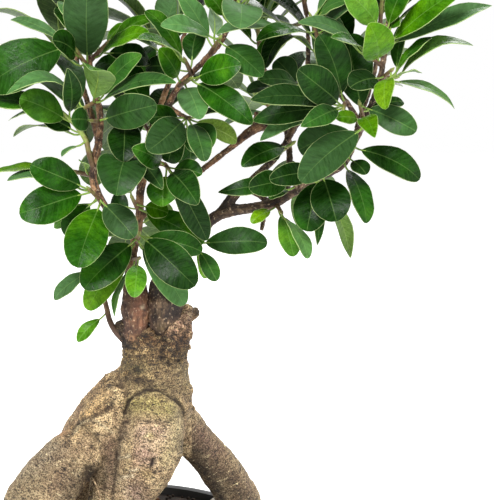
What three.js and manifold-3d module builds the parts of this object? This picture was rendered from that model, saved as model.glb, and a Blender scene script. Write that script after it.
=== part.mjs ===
import * as THREE from 'three';
import { mergeVertices } from 'three/addons/utils/BufferGeometryUtils.js';
import Module from 'manifold-3d';

// A grafted ginseng ficus in a plain round bowl, in millimetres with +Z up. The origin is the middle
// of the bowl's base. +X is to the right and +Y to the back, as the plant is seen from the front.

const wasm = await Module();
wasm.setup();

// Driving dimensions

const gap = 0.3; // clear space between pieces that touch
const trunkLine = 22; // how far the trunk stands to the right of the bowl's middle
const eye = new THREE.Vector3(trunkLine + 66, -750, 365); // where the plant is seen from
const aim = new THREE.Vector3(trunkLine + 66, 0, 253); // the point in the middle of that view

const bowl = {
  footRadius: 64,
  rimRadius: 106,
  height: 65,
  wall: 3,
  floor: 4,
  lip: 4,
  lipHeight: 9,
  sides: 30,
  holes: 3,
  holeRadius: 6,
  holeRing: 34,
};
const soil = { edge: 60, crown: 64.5, chips: 7 };
const pebbles = [
  { at: [66, 73], size: 4.4 },
  { at: [14, 84], size: 4.2 },
  { at: [-30, -78], size: 4.6 },
];

const bladeThickness = 0.75;
const petiole = { length: 7, thickness: 1.3, inWood: 0.45 }; // inWood: the share that may lie in wood
const clearance = 0.9; // kept round the middle of a blade
const leafStations = [
  [0.33, 0.88],
  [0.79, 0.85],
]; // [share of the blade's length, share of its half width]
const shootRadius = { base: 1.6, tip: 1.1 };
const tries = { listed: 15, spiral: 8 }; // for a place where a leaf crosses nothing
const crownHeart = new THREE.Vector3(trunkLine + 52, 5, 315); // leaves grow away from here

// The point at depth that is seen at x and z. These are measured on the plane through aim that is
// square to the view, x from the trunk.
function seen([x, z, depth]) {
  const up = new THREE.Vector3(0, eye.z - aim.z, aim.y - eye.y).normalize();
  const way = aim.clone().addScaledVector(up, z - aim.z).sub(eye);
  way.x = trunkLine + x - aim.x;
  return eye.clone().addScaledVector(way, (depth - eye.y) / way.y);
}

// Neck and roots: [seen x, seen z, depth, radius] along each, from the top down

const neck = [
  [8, 138, 0, 20.5],
  [8, 158, 0, 25],
  [8, 174, 0, 22.4],
  [8, 189, 0, 20.2],
  [8.5, 197, 0, 19.6],
  [9, 204, 2, 15],
];
const roots = {
  left_front: [[-14, 150, -8, 10], [-22, 138, -16, 12.2], [-36, 130, -27, 16], [-48.7, 118, -34, 18.5],
    [-61.7, 98.6, -41, 20.8], [-67, 84, -42, 20.3], [-70, 66, -41, 16.5], [-68, 43, -38, 8.5]],
  left_back: [[-3.5, 171, 4, 13.3], [-11, 164, 7, 15.9], [-21, 154, 11, 17], [-29, 145, 14, 17],
    [-34.5, 134, 17, 17], [-40, 117, 20, 15.5], [-44, 100, 22, 13.5], [-46, 66, 22, 7.5]],
  centre: [[9, 168, -6, 5], [10, 163, -10, 11], [9.5, 156, -15, 16.8], [8, 145, -18, 19.8],
    [5.5, 131, -21, 20.4], [0.5, 115, -23, 17], [-5.5, 99, -25, 12], [-8, 80, -26, 9.3],
    [-9, 50, -26, 6.2]],
  right: [[14, 160, 3, 14.5], [24, 147, 6, 13.4], [33, 136, 10, 12.7], [42.7, 125.8, 13, 12.3],
    [50.5, 116, 16, 12.7], [57, 106, 18, 13.2], [61.5, 96, 20, 14], [62, 84, 20, 12],
    [60, 66, 19, 7.8]],
  inner: [[-12, 166, -10, 10.2], [-18, 154, -15, 13.2], [-25, 140, -20, 15.8], [-23, 126, -20, 13.3],
    [-21, 114, -19, 9.8], [-23, 100, -19, 9.3], [-24, 80, -19, 7.5], [-24, 52, -19, 4.8]],
  back: [[4, 168, 10, 15.3], [4, 152, 26, 15.3], [1.5, 134, 40, 14.3], [-1.5, 116, 50, 13],
    [-3, 97, 56, 11], [-3, 76, 56, 6.5]],
  back_left: [[-3, 168, 8, 14.3], [-13.5, 150, 24, 13.8], [-21.5, 130, 38, 12.8], [-28, 110, 47, 11],
    [-31, 94, 50, 8.5], [-31, 74, 50, 5]],
};
const stubs = [
  [[18, 192, -8, 12], [23, 202, -10, 10.5], [27.5, 211, -8, 7], [30.5, 223, -4, 4]],
  [[27, 210, 0, 4], [33, 213.5, -1, 3.6], [36, 215, -1, 2.6]],
  [[-5, 198, -5, 7], [-10, 203, -6, 5.5], [-12, 209, -6, 3.8]],
];

// Grafted wood: [seen x, seen z, depth, radius] along each branch

const leftWood = [
  [[-3, 192, -6, 5], [-3, 198, -8, 7.6], [-2.8, 210, -8, 8.6], [-3, 221, -8, 8.6], [-3.6, 230, -6, 7.4],
    [-6, 241, -3, 3.4], [-4, 255, -3, 2.7], [-1, 270, -2, 2.7], [0, 290, 0, 2.6], [4, 306, 4, 2.5],
    [10, 325, 8, 2.3], [17, 342, 8, 2.1], [23.5, 354.5, 6, 2], [31.5, 362.5, 4, 1.9],
    [41, 372, 2, 1.9], [50, 382.5, 0, 1.8], [57, 398, 2, 1.6], [60, 416, 4, 1.4], [62, 430, 6, 1.1]],
  [[-4, 260, -3, 2.3], [-13, 271, -8, 2.3], [-22.5, 281, -12, 2.4], [-29, 295, -14, 2.4],
    [-28.5, 308, -12, 2.5], [-26, 320, -10, 2.5], [-25, 336, -8, 2.2], [-28, 351, -6, 2],
    [-31, 366, -6, 1.8], [-33, 384, -4, 1.6], [-32, 402, 0, 1.4], [-29, 420, 4, 1.1]],
  [[-1, 272, -2, 1.9], [18, 288, 8, 1.9], [38.5, 303, 10, 1.9], [54, 315, 11, 1.9],
    [70.5, 328, 12, 3.2], [82, 329, 14, 1.9], [92, 332, 17, 1.8], [104, 339, 22, 1.5]],
  [[70.5, 328, 12, 2.2], [72, 339, 12, 1.3]],
  [[0, 290, 0, 2.2], [2, 305, 18, 2.2], [6, 326, 34, 2.1], [14, 347, 44, 1.9], [22, 368, 48, 1.7],
    [28, 390, 48, 1.4]],
  [[-26, 320, -10, 2.1], [-29, 332, 8, 2], [-34, 348, 24, 1.8], [-39, 366, 34, 1.6],
    [-40, 386, 38, 1.3]],
  [[1, 304, 3, 2.2], [8, 307, -4, 1.8], [15, 306, -10, 1.5]],
  [[17, 342, 8, 1.7], [23, 338, 2, 1.6], [28, 335, -4, 1.4]],
];
const rightWood = [
  [[13, 192, -8, 3.5], [14, 200, -8, 8], [15, 212, -8, 10.8], [15.3, 222, -7, 10.6],
    [15.5, 231, -5, 9.8], [19.5, 241, -1, 7], [25.5, 249, 2, 5.2], [32, 257, 3, 4.3], [42, 270, 4, 3.8],
    [52.5, 276.5, 4, 3.7], [68, 279, 4, 3.4], [83, 282, 4, 3.2], [96, 290, 3, 3.1], [108, 297, 1, 2.8],
    [125, 306, -2, 2.7], [132.5, 320.5, -2, 2.4], [139.5, 335, -2, 2.3], [144.5, 346, -2, 2.2],
    [149, 362, -2, 1.9], [152, 382, 0, 1.6], [154, 400, 3, 1.2]],
  [[47, 273, 4, 3], [57.5, 286, 6, 3], [64, 291.5, 8, 2.8], [75, 302, 13, 2.4], [83, 310, 18, 2.3],
    [92, 323, 25, 2.1], [99, 340, 30, 1.9], [103, 360, 32, 1.7], [104, 380, 30, 1.5],
    [103, 399, 28, 1.2]],
  [[64, 291.5, 8, 2.4], [71, 288.5, 9, 2], [78, 284, 7, 1.8], [83, 282, 4, 1.6]],
  [[76, 280, 4, 1.6], [76.5, 274, 1, 1.5], [75, 265, -1, 1.3]],
  [[137, 330, -2, 1.9], [129, 343, 0, 1.8], [122, 352, 2, 1.6], [116, 366, 6, 1.4],
    [110, 384, 8, 1.2]],
  [[92, 323, 25, 1.9], [100, 336, 38, 1.9], [108, 352, 48, 1.7], [112, 370, 53, 1.5],
    [112, 390, 52, 1.2]],
  [[132.5, 320.5, -2, 1.9], [136, 334, 16, 1.9], [141, 350, 30, 1.7], [146, 368, 37, 1.5],
    [148, 386, 38, 1.2]],
  [[90, 286, 4, 2.2], [92, 300, 22, 2.2], [92, 318, 40, 2.1], [88, 336, 52, 1.9], [80, 354, 58, 1.7],
    [74, 374, 60, 1.4]],
];

// Leafy shoots. A stem is [seen x, seen z, depth] from the wood outwards. A leaf is [share of the
// stem, seen x and z and depth of its tip, width, turn, bow]: at turn 0 its face is to the viewer,
// at 90 it is edge-on with its face up, and past that its underside shows. The stem also bears
// leaves placed by the spiral rule, as many as spiral says.

const shoots = [
  { name: 'shoot_left_crest', stem: [[-31, 364, -6], [-43, 381, -20]], spiral: 0,
    leaves: [[0.2, -31, 425, -34, 27, 6], [0.5, -54, 383, -40, 18, 35], [1, -95, 355, -30, 32, 22],
      [0.25, -91, 374, -52, 15, 74, 0.2], [0.9, -81, 397, 8, 9, 40]] },
  { name: 'shoot_left_hub', stem: [[-26, 346, -7], [-35, 341, -22]], spiral: 1,
    leaves: [[0.8, -83, 350, -50, 16, 66, 0.3], [0.3, -30, 366, -58, 21, 150, 0.15],
      [0.1, 0.5, 374, -30, 15, 42], [0.3, 21.5, 357.5, -42, 14, 56]] },
  { name: 'shoot_left_inner', stem: [[-31.5, 370, -5], [-22, 380, -4]], spiral: 3,
    leaves: [[0.2, 4.5, 388, -26, 15, 62], [0.9, 8, 397, -8, 14, 58], [0.7, -9, 394, -22, 8, 40],
      [0.6, 6, 371, 14, 16, 30]] },
  { name: 'shoot_left_twin', stem: [[-28.8, 303, -13], [-31.5, 311, -16], [-34, 321, -18],
      [-40, 330, -20], [-50, 339.5, -22]], spiral: 0,
    leaves: [[1, -98, 345, -26, 20, 60], [0.62, -61, 335, -24, 13, 30], [0.93, -82, 334, -10, 12, 84],
      [0.62, -79, 325, -8, 13, 82, 0.14], [0.5, -49, 311, -28, 9, 70],
      [0.85, -45, 365, -36, 12, 20], [0.8, -75, 347, -12, 20, 22]] },
  { name: 'shoot_left_stem', stem: [[-25.5, 333, -8], [-30, 333, -22]], spiral: 1,
    leaves: [[0.8, -43, 334, -44, 14, 12], [0.2, 9.5, 343, -38, 21, 4]] },
  { name: 'shoot_left_low', stem: [[-23, 282, -12], [-31, 290, -24]], spiral: 2,
    leaves: [[1, -68, 306, -38, 19, 10], [0.9, -75, 276, -42, 23, 12], [0.2, -39, 242, -52, 25, 4],
      [0.35, -4, 261, -34, 18, 8], [0.5, -47, 262, -30, 17, 30], [0.35, -54, 267, 2, 10, 30]] },
  { name: 'shoot_left_side', stem: [[-29, 299, -14], [-48, 303, -4]], spiral: 0,
    leaves: [[1, -97, 297, -8, 14, 72], [0.15, -37, 308, -26, 7, 120]] },
  { name: 'shoot_heart_left', stem: [[4, 306, 4], [-8, 314, -12]], spiral: 1,
    leaves: [[0.9, -15, 288, -52, 29, 12, 0.2], [0.35, 13.5, 290.5, -36, 11, 6]] },
  { name: 'shoot_heart_hang', stem: [[14, 334, 8], [-10, 336, -4]], spiral: 3,
    leaves: [[0.95, -11, 309, -22, 20, 10]] },
  { name: 'shoot_heart_low', stem: [[-3.5, 257, -3], [-1, 263, -18]], spiral: 0,
    leaves: [[0.6, -35, 229, -40, 22, 6], [1, 33.5, 231, -44, 23, 6], [0.5, 27, 219, -22, 17, 10],
      [0.9, 38, 252, -26, 15, 10], [0.2, -33, 216, -22, 17, 12]] },
  { name: 'shoot_heart_young', stem: [[-5, 247, -3], [-1, 248, -17]], spiral: 0,
    leaves: [[0.9, -4, 224, -46, 13, 0], [0.4, -17, 212, -26, 8, 60]] },
  { name: 'shoot_heart_up', stem: [[-1, 277, -1], [-5, 285, -14]], spiral: 0,
    leaves: [[0.8, -11, 303, -24, 13, 20], [0.6, 17, 276, -14, 13, 24], [0.3, 39.5, 258, -30, 18, 12],
      [0.2, -19, 281, 16, 18, 30]] },
  { name: 'shoot_heart_right', stem: [[15, 306, -10], [17, 304, -20]], spiral: 0,
    leaves: [[0.2, -4, 316, -34, 15, 12], [0.7, 38, 300, -36, 14, 20], [1, 35, 282, -48, 18, 6],
      [0.6, 14, 280, -30, 20, 8], [0.9, 41.5, 259, -26, 16, 14]] },
  { name: 'shoot_heart_twig', stem: [[28, 335, -4], [30, 335, -14]], spiral: 0,
    leaves: [[0.5, 42, 314.5, -28, 21, 4], [0.3, 5, 315, -34, 21, 4], [1, 40, 309, -46, 14, 25],
      [0.1, 4, 335, -26, 15, 12],
      [0.6, 60, 321, -22, 13, 150], [0.3, 66, 340, -12, 10, 60], [0.2, 31, 307, 12, 20, 20],
      [0.5, 17, 307, 16, 16, 20]] },
  { name: 'shoot_mid_low', stem: [[23.5, 354.5, 6], [31, 359, -13]], spiral: 1,
    leaves: [[1, 62, 368, -34, 19, 26], [1, 69, 332, -46, 18, 22], [0.5, 37, 334, -50, 18, 12],
      [0.3, 12, 378, -20, 15, 30]] },
  { name: 'shoot_mid_side', stem: [[31.5, 362.5, 4], [28, 370, -8]], spiral: 1,
    leaves: [[0.9, -1, 385, -26, 14, 80], [0.6, 4, 402, -10, 14, 45], [0.3, 37, 390, 18, 16, 30],
      [0.2, 3, 366, 16, 15, 30]] },
  { name: 'shoot_mid_high', stem: [[43, 374.5, 2], [49, 384, -15]], spiral: 0,
    leaves: [[1, 13, 393, -36, 15, 55], [0.9, 76, 361, -34, 20, 28], [0.6, 44, 403, -20, 13, 130],
      [0.4, 24, 412, -8, 14, 30]] },
  { name: 'shoot_mid_top', stem: [[54, 390, 1], [61, 408, -12]], spiral: 2,
    leaves: [[0.2, 40, 412, -20, 14, 40], [1, 62, 391, -54, 24, 20], [0.8, 88, 424, -16, 18, 45]] },
  { name: 'shoot_mid_branch', stem: [[103, 395, 28], [92, 391, 6]], spiral: 4,
    leaves: [[1, 47, 387, -8, 15, 60], [0.4, 70, 370, 2, 12, 20]] },
  { name: 'shoot_fork', stem: [[97, 337, 29], [101, 355, 6]], spiral: 2,
    leaves: [[1, 74, 359, -24, 14, 40], [0.7, 66, 352, 6, 15, 60], [0.8, 84, 371, 16, 16, 25]] },
  { name: 'shoot_fork_low', stem: [[85, 313, 19], [94, 319, 2]], spiral: 1,
    leaves: [[1, 63, 305.5, -24, 15, 30], [0.6, 80, 309, 0, 9, 40]] },
  { name: 'shoot_limb_mid', stem: [[97, 290.5, 3], [95, 298, -12]], spiral: 0,
    leaves: [[0.8, 68, 292, -34, 16, 12], [0.6, 48, 289, -16, 11, 20],
      [0.3, 80, 285, -14, 9, 40]] },
  { name: 'shoot_limb_low', stem: [[84, 281.5, 4], [87, 277, -9]], spiral: 0,
    leaves: [[0.4, 95, 249, -22, 14, 30], [1, 104, 248, -26, 13, 55], [0.2, 69, 270, -14, 9, 30]] },
  { name: 'shoot_limb_hang', stem: [[108, 297, 1], [112, 302, -14]], spiral: 0,
    leaves: [[1, 121.5, 271, -40, 24, 8], [0.7, 103, 265, -30, 22, 6], [0.4, 130.5, 248, -12, 14, 130],
      [0.2, 110, 256, 6, 8, 30], [0.9, 81, 297, -42, 14, 14]] },
  { name: 'shoot_limb_right', stem: [[125, 306, -2], [131, 318, -12]], spiral: 0,
    leaves: [[1, 173, 297, -26, 18, 28, 0.13], [0.2, 141, 270.5, -24, 17, 40],
      [0.5, 140, 300, -22, 12, 30]] },
  { name: 'shoot_limb_face', stem: [[136, 327, -2], [139, 330, -16]], spiral: 0,
    leaves: [[0.9, 100, 296, -46, 21, 10], [0.3, 98, 315, 6, 21, 20]] },
  { name: 'shoot_limb_glossy', stem: [[138.5, 333, -2], [136, 343, -14]], spiral: 2,
    leaves: [[1, 171, 326.5, -34, 16, 14], [0.3, 145, 323.5, -24, 12, 10],
      [0.6, 163, 345.5, 4, 10, 40], [0.1, 121, 335, -24, 9, 20]] },
  { name: 'shoot_right_hub', stem: [[127, 345.5, 1], [126, 341, -15]], spiral: 0,
    leaves: [[0.9, 98, 365, -38, 21, 14], [0.3, 111, 386, -22, 22, 20], [0.6, 68, 346, -34, 17, 42],
      [1, 69.5, 333.5, -28, 16, 30], [0.9, 100, 330.5, -44, 13, 20], [0.4, 74, 321, -12, 13, 45]] },
  { name: 'shoot_right_high', stem: [[112, 378, 7], [106, 396, -2]], spiral: 4,
    leaves: [[1, 128, 408, -18, 15, 60], [0.6, 72, 384, 8, 14, 60], [0.1, 77, 366, -18, 18, 70, 0.4]] },
  { name: 'shoot_right_arch', stem: [[150, 367, -2], [141, 374, -10]], spiral: 0,
    leaves: [[1, 98, 395, -16, 14, 58, 0.16], [0.7, 118, 385, -28, 12, 80],
      [0.2, 142, 393, -34, 21, 14]] },
  { name: 'shoot_right_young', stem: [[148, 358, -2], [155, 364, -15]], spiral: 0,
    leaves: [[1, 151.5, 341, -38, 14, 30, 0.2], [0.5, 130, 354, -36, 17, 30]] },
  { name: 'shoot_right_crest', stem: [[151.5, 378, 0], [151, 389, -9]], spiral: 2,
    leaves: [[1, 126, 413, -16, 21, 30], [0.6, 160, 398, 12, 13, 50], [0.15, 199, 414, -14, 17, 36, 0.05],
      [0.8, 168, 424, -6, 16, 30], [0.1, 217.5, 406, 6, 18, 48, 0.04]] },
  { name: 'shoot_right_side', stem: [[148.5, 360, -2], [157, 360, 6]], spiral: 1,
    leaves: [[0.8, 206, 380.5, 0, 14, 61, 0.22], [0.5, 195.5, 341.5, 10, 12, 64, 0.1],
      [0.7, 180.5, 385, -6, 11, 60], [0.3, 174.5, 363, 6, 8, 86]] },
  { name: 'shoot_low_twig', stem: [[-9, 196, -8], [-15, 202, -8], [-19, 209, -6], [-21.5, 219, -3],
      [-28, 243, 2]], spiral: 0,
    leaves: [[1, -54, 222.5, 6, 13, 46, 0.04], [0.68, -39, 196, -12, 9, 30]] },

  { name: 'shoot_back_low', stem: [[-3, 262, 1], [-4, 272, 18]], spiral: 0,
    leaves: [[1, -18, 242, 44, 20, 195], [0.8, 17, 249, 42, 20, 170], [0.45, -25, 271, 36, 18, 215],
      [0.6, 20, 277, 40, 18, 160]] },
  { name: 'shoot_back_limb', stem: [[104, 294, 5], [109, 304, 22]], spiral: 0,
    leaves: [[1, 121, 280, 46, 19, 200], [0.8, 98, 268, 40, 19, 170], [0.5, 82, 300, 44, 17, 150],
      [0.9, 124, 318, 50, 18, 120]] },
  { name: 'shoot_back_stem', stem: [[-29, 305, -10], [-33, 318, 9]], spiral: 0,
    leaves: [[1, -27, 293, 34, 18, 195], [0.8, -14, 300, 38, 19, 165], [0.5, -15, 332, 30, 17, 120],
      [0.9, -30, 342, 46, 17, 130]] },
  { name: 'shoot_top_left', stem: [[-32, 402, 0], [-26, 424, 8]], spiral: 6 },
  { name: 'shoot_top_mid', stem: [[60, 416, 4], [64, 436, 2]], spiral: 7 },
  { name: 'shoot_top_right', stem: [[152, 386, 0], [160, 418, 8]], spiral: 5 },
  { name: 'shoot_top_inner', stem: [[103, 399, 28], [98, 424, 18]], spiral: 7 },
  { name: 'shoot_back_a', stem: [[6, 326, 34], [-4, 340, 54]], spiral: 6 },
  { name: 'shoot_back_b', stem: [[22, 368, 48], [10, 386, 66]], spiral: 8 },
  { name: 'shoot_back_c', stem: [[28, 390, 48], [33, 414, 48]], spiral: 7 },
  { name: 'shoot_back_d', stem: [[-39, 366, 34], [-50, 381, 54]], spiral: 5 },
  { name: 'shoot_back_e', stem: [[-40, 386, 38], [-33, 410, 38]], spiral: 6 },
  { name: 'shoot_back_f', stem: [[88, 336, 52], [72, 348, 68]], spiral: 8 },
  { name: 'shoot_back_g', stem: [[74, 374, 60], [72, 401, 60]], spiral: 8 },
  { name: 'shoot_back_h', stem: [[108, 352, 48], [122, 363, 68]], spiral: 7 },
  { name: 'shoot_back_i', stem: [[112, 390, 52], [116, 416, 48]], spiral: 6 },
  { name: 'shoot_back_k', stem: [[148, 386, 38], [150, 412, 34]], spiral: 6 },
  { name: 'shoot_heart_side', stem: [[31.5, 256.5, 3], [34, 257.5, -10]], spiral: 0,
    leaves: [[0.9, 78.5, 257.5, -16, 18, 14, 0.05], [0.8, 47.5, 234, -18, 11, 20],
      [0.5, 41, 235.5, 2, 7, 20]] },
];

// Solids

// A closed surface with its shared corners merged, as a solid that can be joined or cut.
function solidOf(positions, triangles) {
  const geometry = new THREE.BufferGeometry();
  geometry.setAttribute('position', new THREE.Float32BufferAttribute(positions, 3));
  geometry.setIndex(triangles);
  return solidOfGeometry(geometry);
}

function solidOfGeometry(geometry) {
  geometry.deleteAttribute('normal');
  geometry.deleteAttribute('uv');
  const merged = mergeVertices(geometry, 1e-4);
  return new wasm.Manifold(new wasm.Mesh({
    numProp: 3,
    vertProperties: new Float32Array(merged.attributes.position.array),
    triVerts: new Uint32Array(merged.index.array),
  }));
}

// The largest body of a solid, without the scraps that a cut leaves.
function largest(solid) {
  const bodies = solid.decompose();
  return bodies.reduce((a, b) => (b.volume() > a.volume() ? b : a));
}

function meshOf(name, solid, [color, roughness]) {
  const { vertProperties, triVerts } = solid.getMesh();
  const geometry = new THREE.BufferGeometry();
  geometry.setAttribute('position', new THREE.BufferAttribute(new Float32Array(vertProperties), 3));
  geometry.setIndex(new THREE.BufferAttribute(new Uint32Array(triVerts), 1));
  geometry.computeVertexNormals();
  const material = new THREE.MeshStandardMaterial({ color, roughness, metalness: 0 });
  const mesh = new THREE.Mesh(geometry, material);
  mesh.name = name;
  return mesh;
}

function lathe(profile, sides) {
  const points = profile.map(([r, z]) => new THREE.Vector2(r, z));
  return new THREE.LatheGeometry(points, sides).rotateX(Math.PI / 2);
}

// The same numbers every time: a seeded draw between 0 and 1.
function seeded(seed) {
  let state = (seed * 7919 + 12345) % 4294967296;
  return () => {
    state = (state * 1664525 + 1013904223) % 4294967296;
    return state / 4294967296;
  };
}

// Points along a smooth curve through the stations, each with its radius and direction.
function sample(stations, steps) {
  const curve = new THREE.CatmullRomCurve3(stations.map((s) => s.point), false, 'catmullrom', 0.5);
  return Array.from({ length: steps + 1 }, (_, i) => {
    const t = i / steps;
    const at = t * (stations.length - 1);
    const low = Math.min(Math.floor(at), stations.length - 2);
    const radius = THREE.MathUtils.lerp(stations[low].radius, stations[low + 1].radius, at - low);
    return { point: curve.getPoint(t), direction: curve.getTangent(t), radius };
  });
}

// A closed tube round the samples, with the area of a round one. bump gives the share of the radius at
// an angle and a place.
function tube(samples, sides, bump = () => 1) {
  const sector = (2 * Math.PI) / sides;
  const full = Math.sqrt(sector / Math.sin(sector));
  const corners = [];
  let across = new THREE.Vector3(0, 1, 0);
  samples.forEach(({ point, direction, radius }, i) => {
    across = across.clone().addScaledVector(direction, -across.dot(direction)).normalize();
    const other = direction.clone().cross(across);
    for (let k = 0; k < sides; k++) {
      const angle = k * sector;
      const r = radius * full * bump(angle, i / (samples.length - 1));
      corners.push(point.clone().addScaledVector(across, r * Math.cos(angle))
        .addScaledVector(other, r * Math.sin(angle)));
    }
  });
  const first = corners.length;
  corners.push(samples[0].point, samples.at(-1).point);
  const triangles = [];
  for (let k = 0; k < sides; k++) {
    const next = (k + 1) % sides;
    for (let i = 0; i < samples.length - 1; i++) {
      const a = i * sides;
      const b = a + sides;
      triangles.push(a + k, a + next, b + next, a + k, b + next, b + k);
    }
    const end = (samples.length - 1) * sides;
    triangles.push(first, next, k, first + 1, end + k, end + next);
  }
  return { corners, triangles };
}

function solidTube(samples, sides, bump) {
  const { corners, triangles } = tube(samples, sides, bump);
  return solidOf(corners.flatMap((p) => p.toArray()), triangles);
}

function joined(solids) {
  return solids.reduce((a, b) => a.add(b));
}

// Rootstock and grafted wood

function stationsOf(branch) {
  return branch.map(([x, z, depth, radius]) => ({ point: seen([x, z, depth]), radius }));
}

function rootSolid(stations, sides, seed) {
  const draw = seeded(seed);
  const phases = [draw(), draw(), draw()].map((v) => v * 2 * Math.PI);
  const bump = (angle, t) => 1 + 0.05 * Math.sin(2 * angle + phases[0] + 3 * t)
    + 0.04 * Math.sin(3 * angle + phases[1] - 5 * t) + 0.025 * Math.sin(9 * t + phases[2]);
  return solidTube(sample(stationsOf(stations), stations.length - 1), sides, bump);
}

// The wood with its radius grown by grow, which keeps the pieces fitted to it clear.
function woodSolid(branches, grow) {
  return joined(branches.map((branch) => {
    const samples = sample(stationsOf(branch), branch.length - 1);
    samples.forEach((s) => { s.radius += grow; });
    if (grow > 0) {
      const end = samples.at(-1);
      end.point = end.point.clone().addScaledVector(end.direction, grow);
    }
    return solidTube(samples, branch.some(([, , , radius]) => radius > 5) ? 6 : 5);
  }));
}

// Leaves

// The middle surface of a leaf: its points, the way each faces, and half its thickness there. grow
// widens and lengthens it all round.
function leafSheet(leaf, grow) {
  const { root, tip, face, width, bow } = leaf;
  const way = tip.clone().sub(root).normalize();
  const side = way.clone().cross(face);
  const base = root.clone().addScaledVector(way, petiole.length);
  const length = tip.distanceTo(base);
  const points = [];
  const normals = [];
  const halves = [];
  const put = (along, lift, out, normal, half) => {
    points.push(base.clone().addScaledVector(way, along).addScaledVector(face, lift)
      .addScaledVector(side, out));
    normals.push(normal);
    halves.push(half + grow);
  };
  for (const along of [-petiole.length, 0]) {
    for (const sign of [-1, 1]) {
      put(along, 0, sign * (petiole.thickness / 2 + grow), face, petiole.thickness / 2);
    }
  }
  for (const [share, wide] of leafStations) {
    const normal = face.clone().addScaledVector(way, -4 * bow * (1 - 2 * share)).normalize();
    for (const sign of [-1, 1]) {
      put(share * length, 4 * bow * length * share * (1 - share), sign * ((width / 2) * wide + grow),
        normal, bladeThickness / 2);
    }
  }
  put(length + grow, 0, 0, face.clone().addScaledVector(way, 4 * bow).normalize(), bladeThickness / 2);
  return { points, normals, halves };
}

// Triangles of the sheet, all facing its face, and its outline.
function leafPattern() {
  const right = Array.from({ length: leafStations.length + 2 }, (_, i) => 2 * i + 1);
  const left = right.map((r) => r - 1);
  const tip = right.at(-1) + 1;
  const faces = left.slice(0, -1).flatMap((l) => [[l, l + 1, l + 3], [l, l + 3, l + 2]]);
  faces.push([tip - 2, tip - 1, tip]);
  return { faces, rim: [...right, tip, ...left.reverse()] };
}

const pattern = leafPattern();

// The leaf as a closed body, the same triangles above and below, on a three-sided petiole.
function leafBody(leaf, grow) {
  const { points, normals, halves } = leafSheet(leaf, grow);
  const above = points.map((p, i) => p.clone().addScaledVector(normals[i], halves[i]));
  const below = points.map((p, i) => p.clone().addScaledVector(normals[i], -halves[i]));
  const under = (i) => points.length + (i < 4 ? i - (i % 2) : i);
  [0, 2].forEach((i) => below[i].lerp(below[i + 1], 0.5));
  const faces = pattern.faces.flatMap(([a, b, c]) => [[a, b, c], [under(a), under(c), under(b)]]);
  pattern.rim.forEach((a, i) => {
    const b = pattern.rim[(i + 1) % pattern.rim.length];
    faces.push([a, under(a), under(b)], [a, under(b), b]);
  });
  return { corners: [...above, ...below], faces: faces.filter((face) => new Set(face).size === 3) };
}

function edgesOf(faces) {
  const keys = new Set();
  const edges = [];
  for (const face of faces) {
    face.forEach((a, i) => {
      const b = face[(i + 1) % 3];
      const key = Math.min(a, b) * 1000 + Math.max(a, b);
      if (!keys.has(key)) edges.push([a, b]);
      keys.add(key);
    });
  }
  return edges;
}

// A set of triangles with its edges and its box, for the test below.
function surface(corners, faces) {
  return { corners, faces, edges: edgesOf(faces), box: new THREE.Box3().setFromPoints(corners) };
}

function pierces(p, q, a, b, c) {
  const way = q.clone().sub(p);
  const ab = b.clone().sub(a);
  const ac = c.clone().sub(a);
  const h = way.clone().cross(ac);
  const det = ab.dot(h);
  if (Math.abs(det) < 1e-9) return false;
  const s = p.clone().sub(a);
  const u = s.dot(h) / det;
  if (u < 0 || u > 1) return false;
  const k = s.cross(ab);
  const v = way.dot(k) / det;
  if (v < 0 || u + v > 1) return false;
  const t = ac.dot(k) / det;
  return t >= 0 && t <= 1;
}

// Whether an edge of one surface goes through a triangle of the other.
function cross(one, two) {
  if (!one.box.intersectsBox(two.box)) return false;
  return [[one, two], [two, one]].some(([first, second]) => first.edges.some(([i, j]) => {
    const p = first.corners[i];
    const q = first.corners[j];
    const near = new THREE.Box3().setFromPoints([p, q]);
    if (!near.intersectsBox(second.box)) return false;
    return second.faces.some(([a, b, c]) => pierces(p, q, second.corners[a], second.corners[b],
      second.corners[c]));
  }));
}

// The way a leaf faces: its upper side to the viewer at turn 0, upwards at 90.
function faceToward(root, tip, turn) {
  const way = tip.clone().sub(root).normalize();
  const toEye = eye.clone().sub(root);
  toEye.addScaledVector(way, -toEye.dot(way)).normalize();
  const up = way.clone().cross(toEye);
  if (up.z < 0) up.negate();
  const angle = THREE.MathUtils.degToRad(turn);
  return toEye.multiplyScalar(Math.cos(angle)).addScaledVector(up, Math.sin(angle));
}

// A leaf of the list. Each try bends its tip a little nearer or farther along the line of sight.
function listedLeaf(stem, [share, x, z, depth, width, turn, bow = 0.1], attempt) {
  const root = stemPoint(stem, share);
  const bend = 5 * Math.ceil(attempt / 2) * (attempt % 2 ? -1 : 1);
  const tip = seen([x, z, depth + bend]);
  return { root, tip, face: faceToward(root, tip, turn), width, bow };
}

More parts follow.
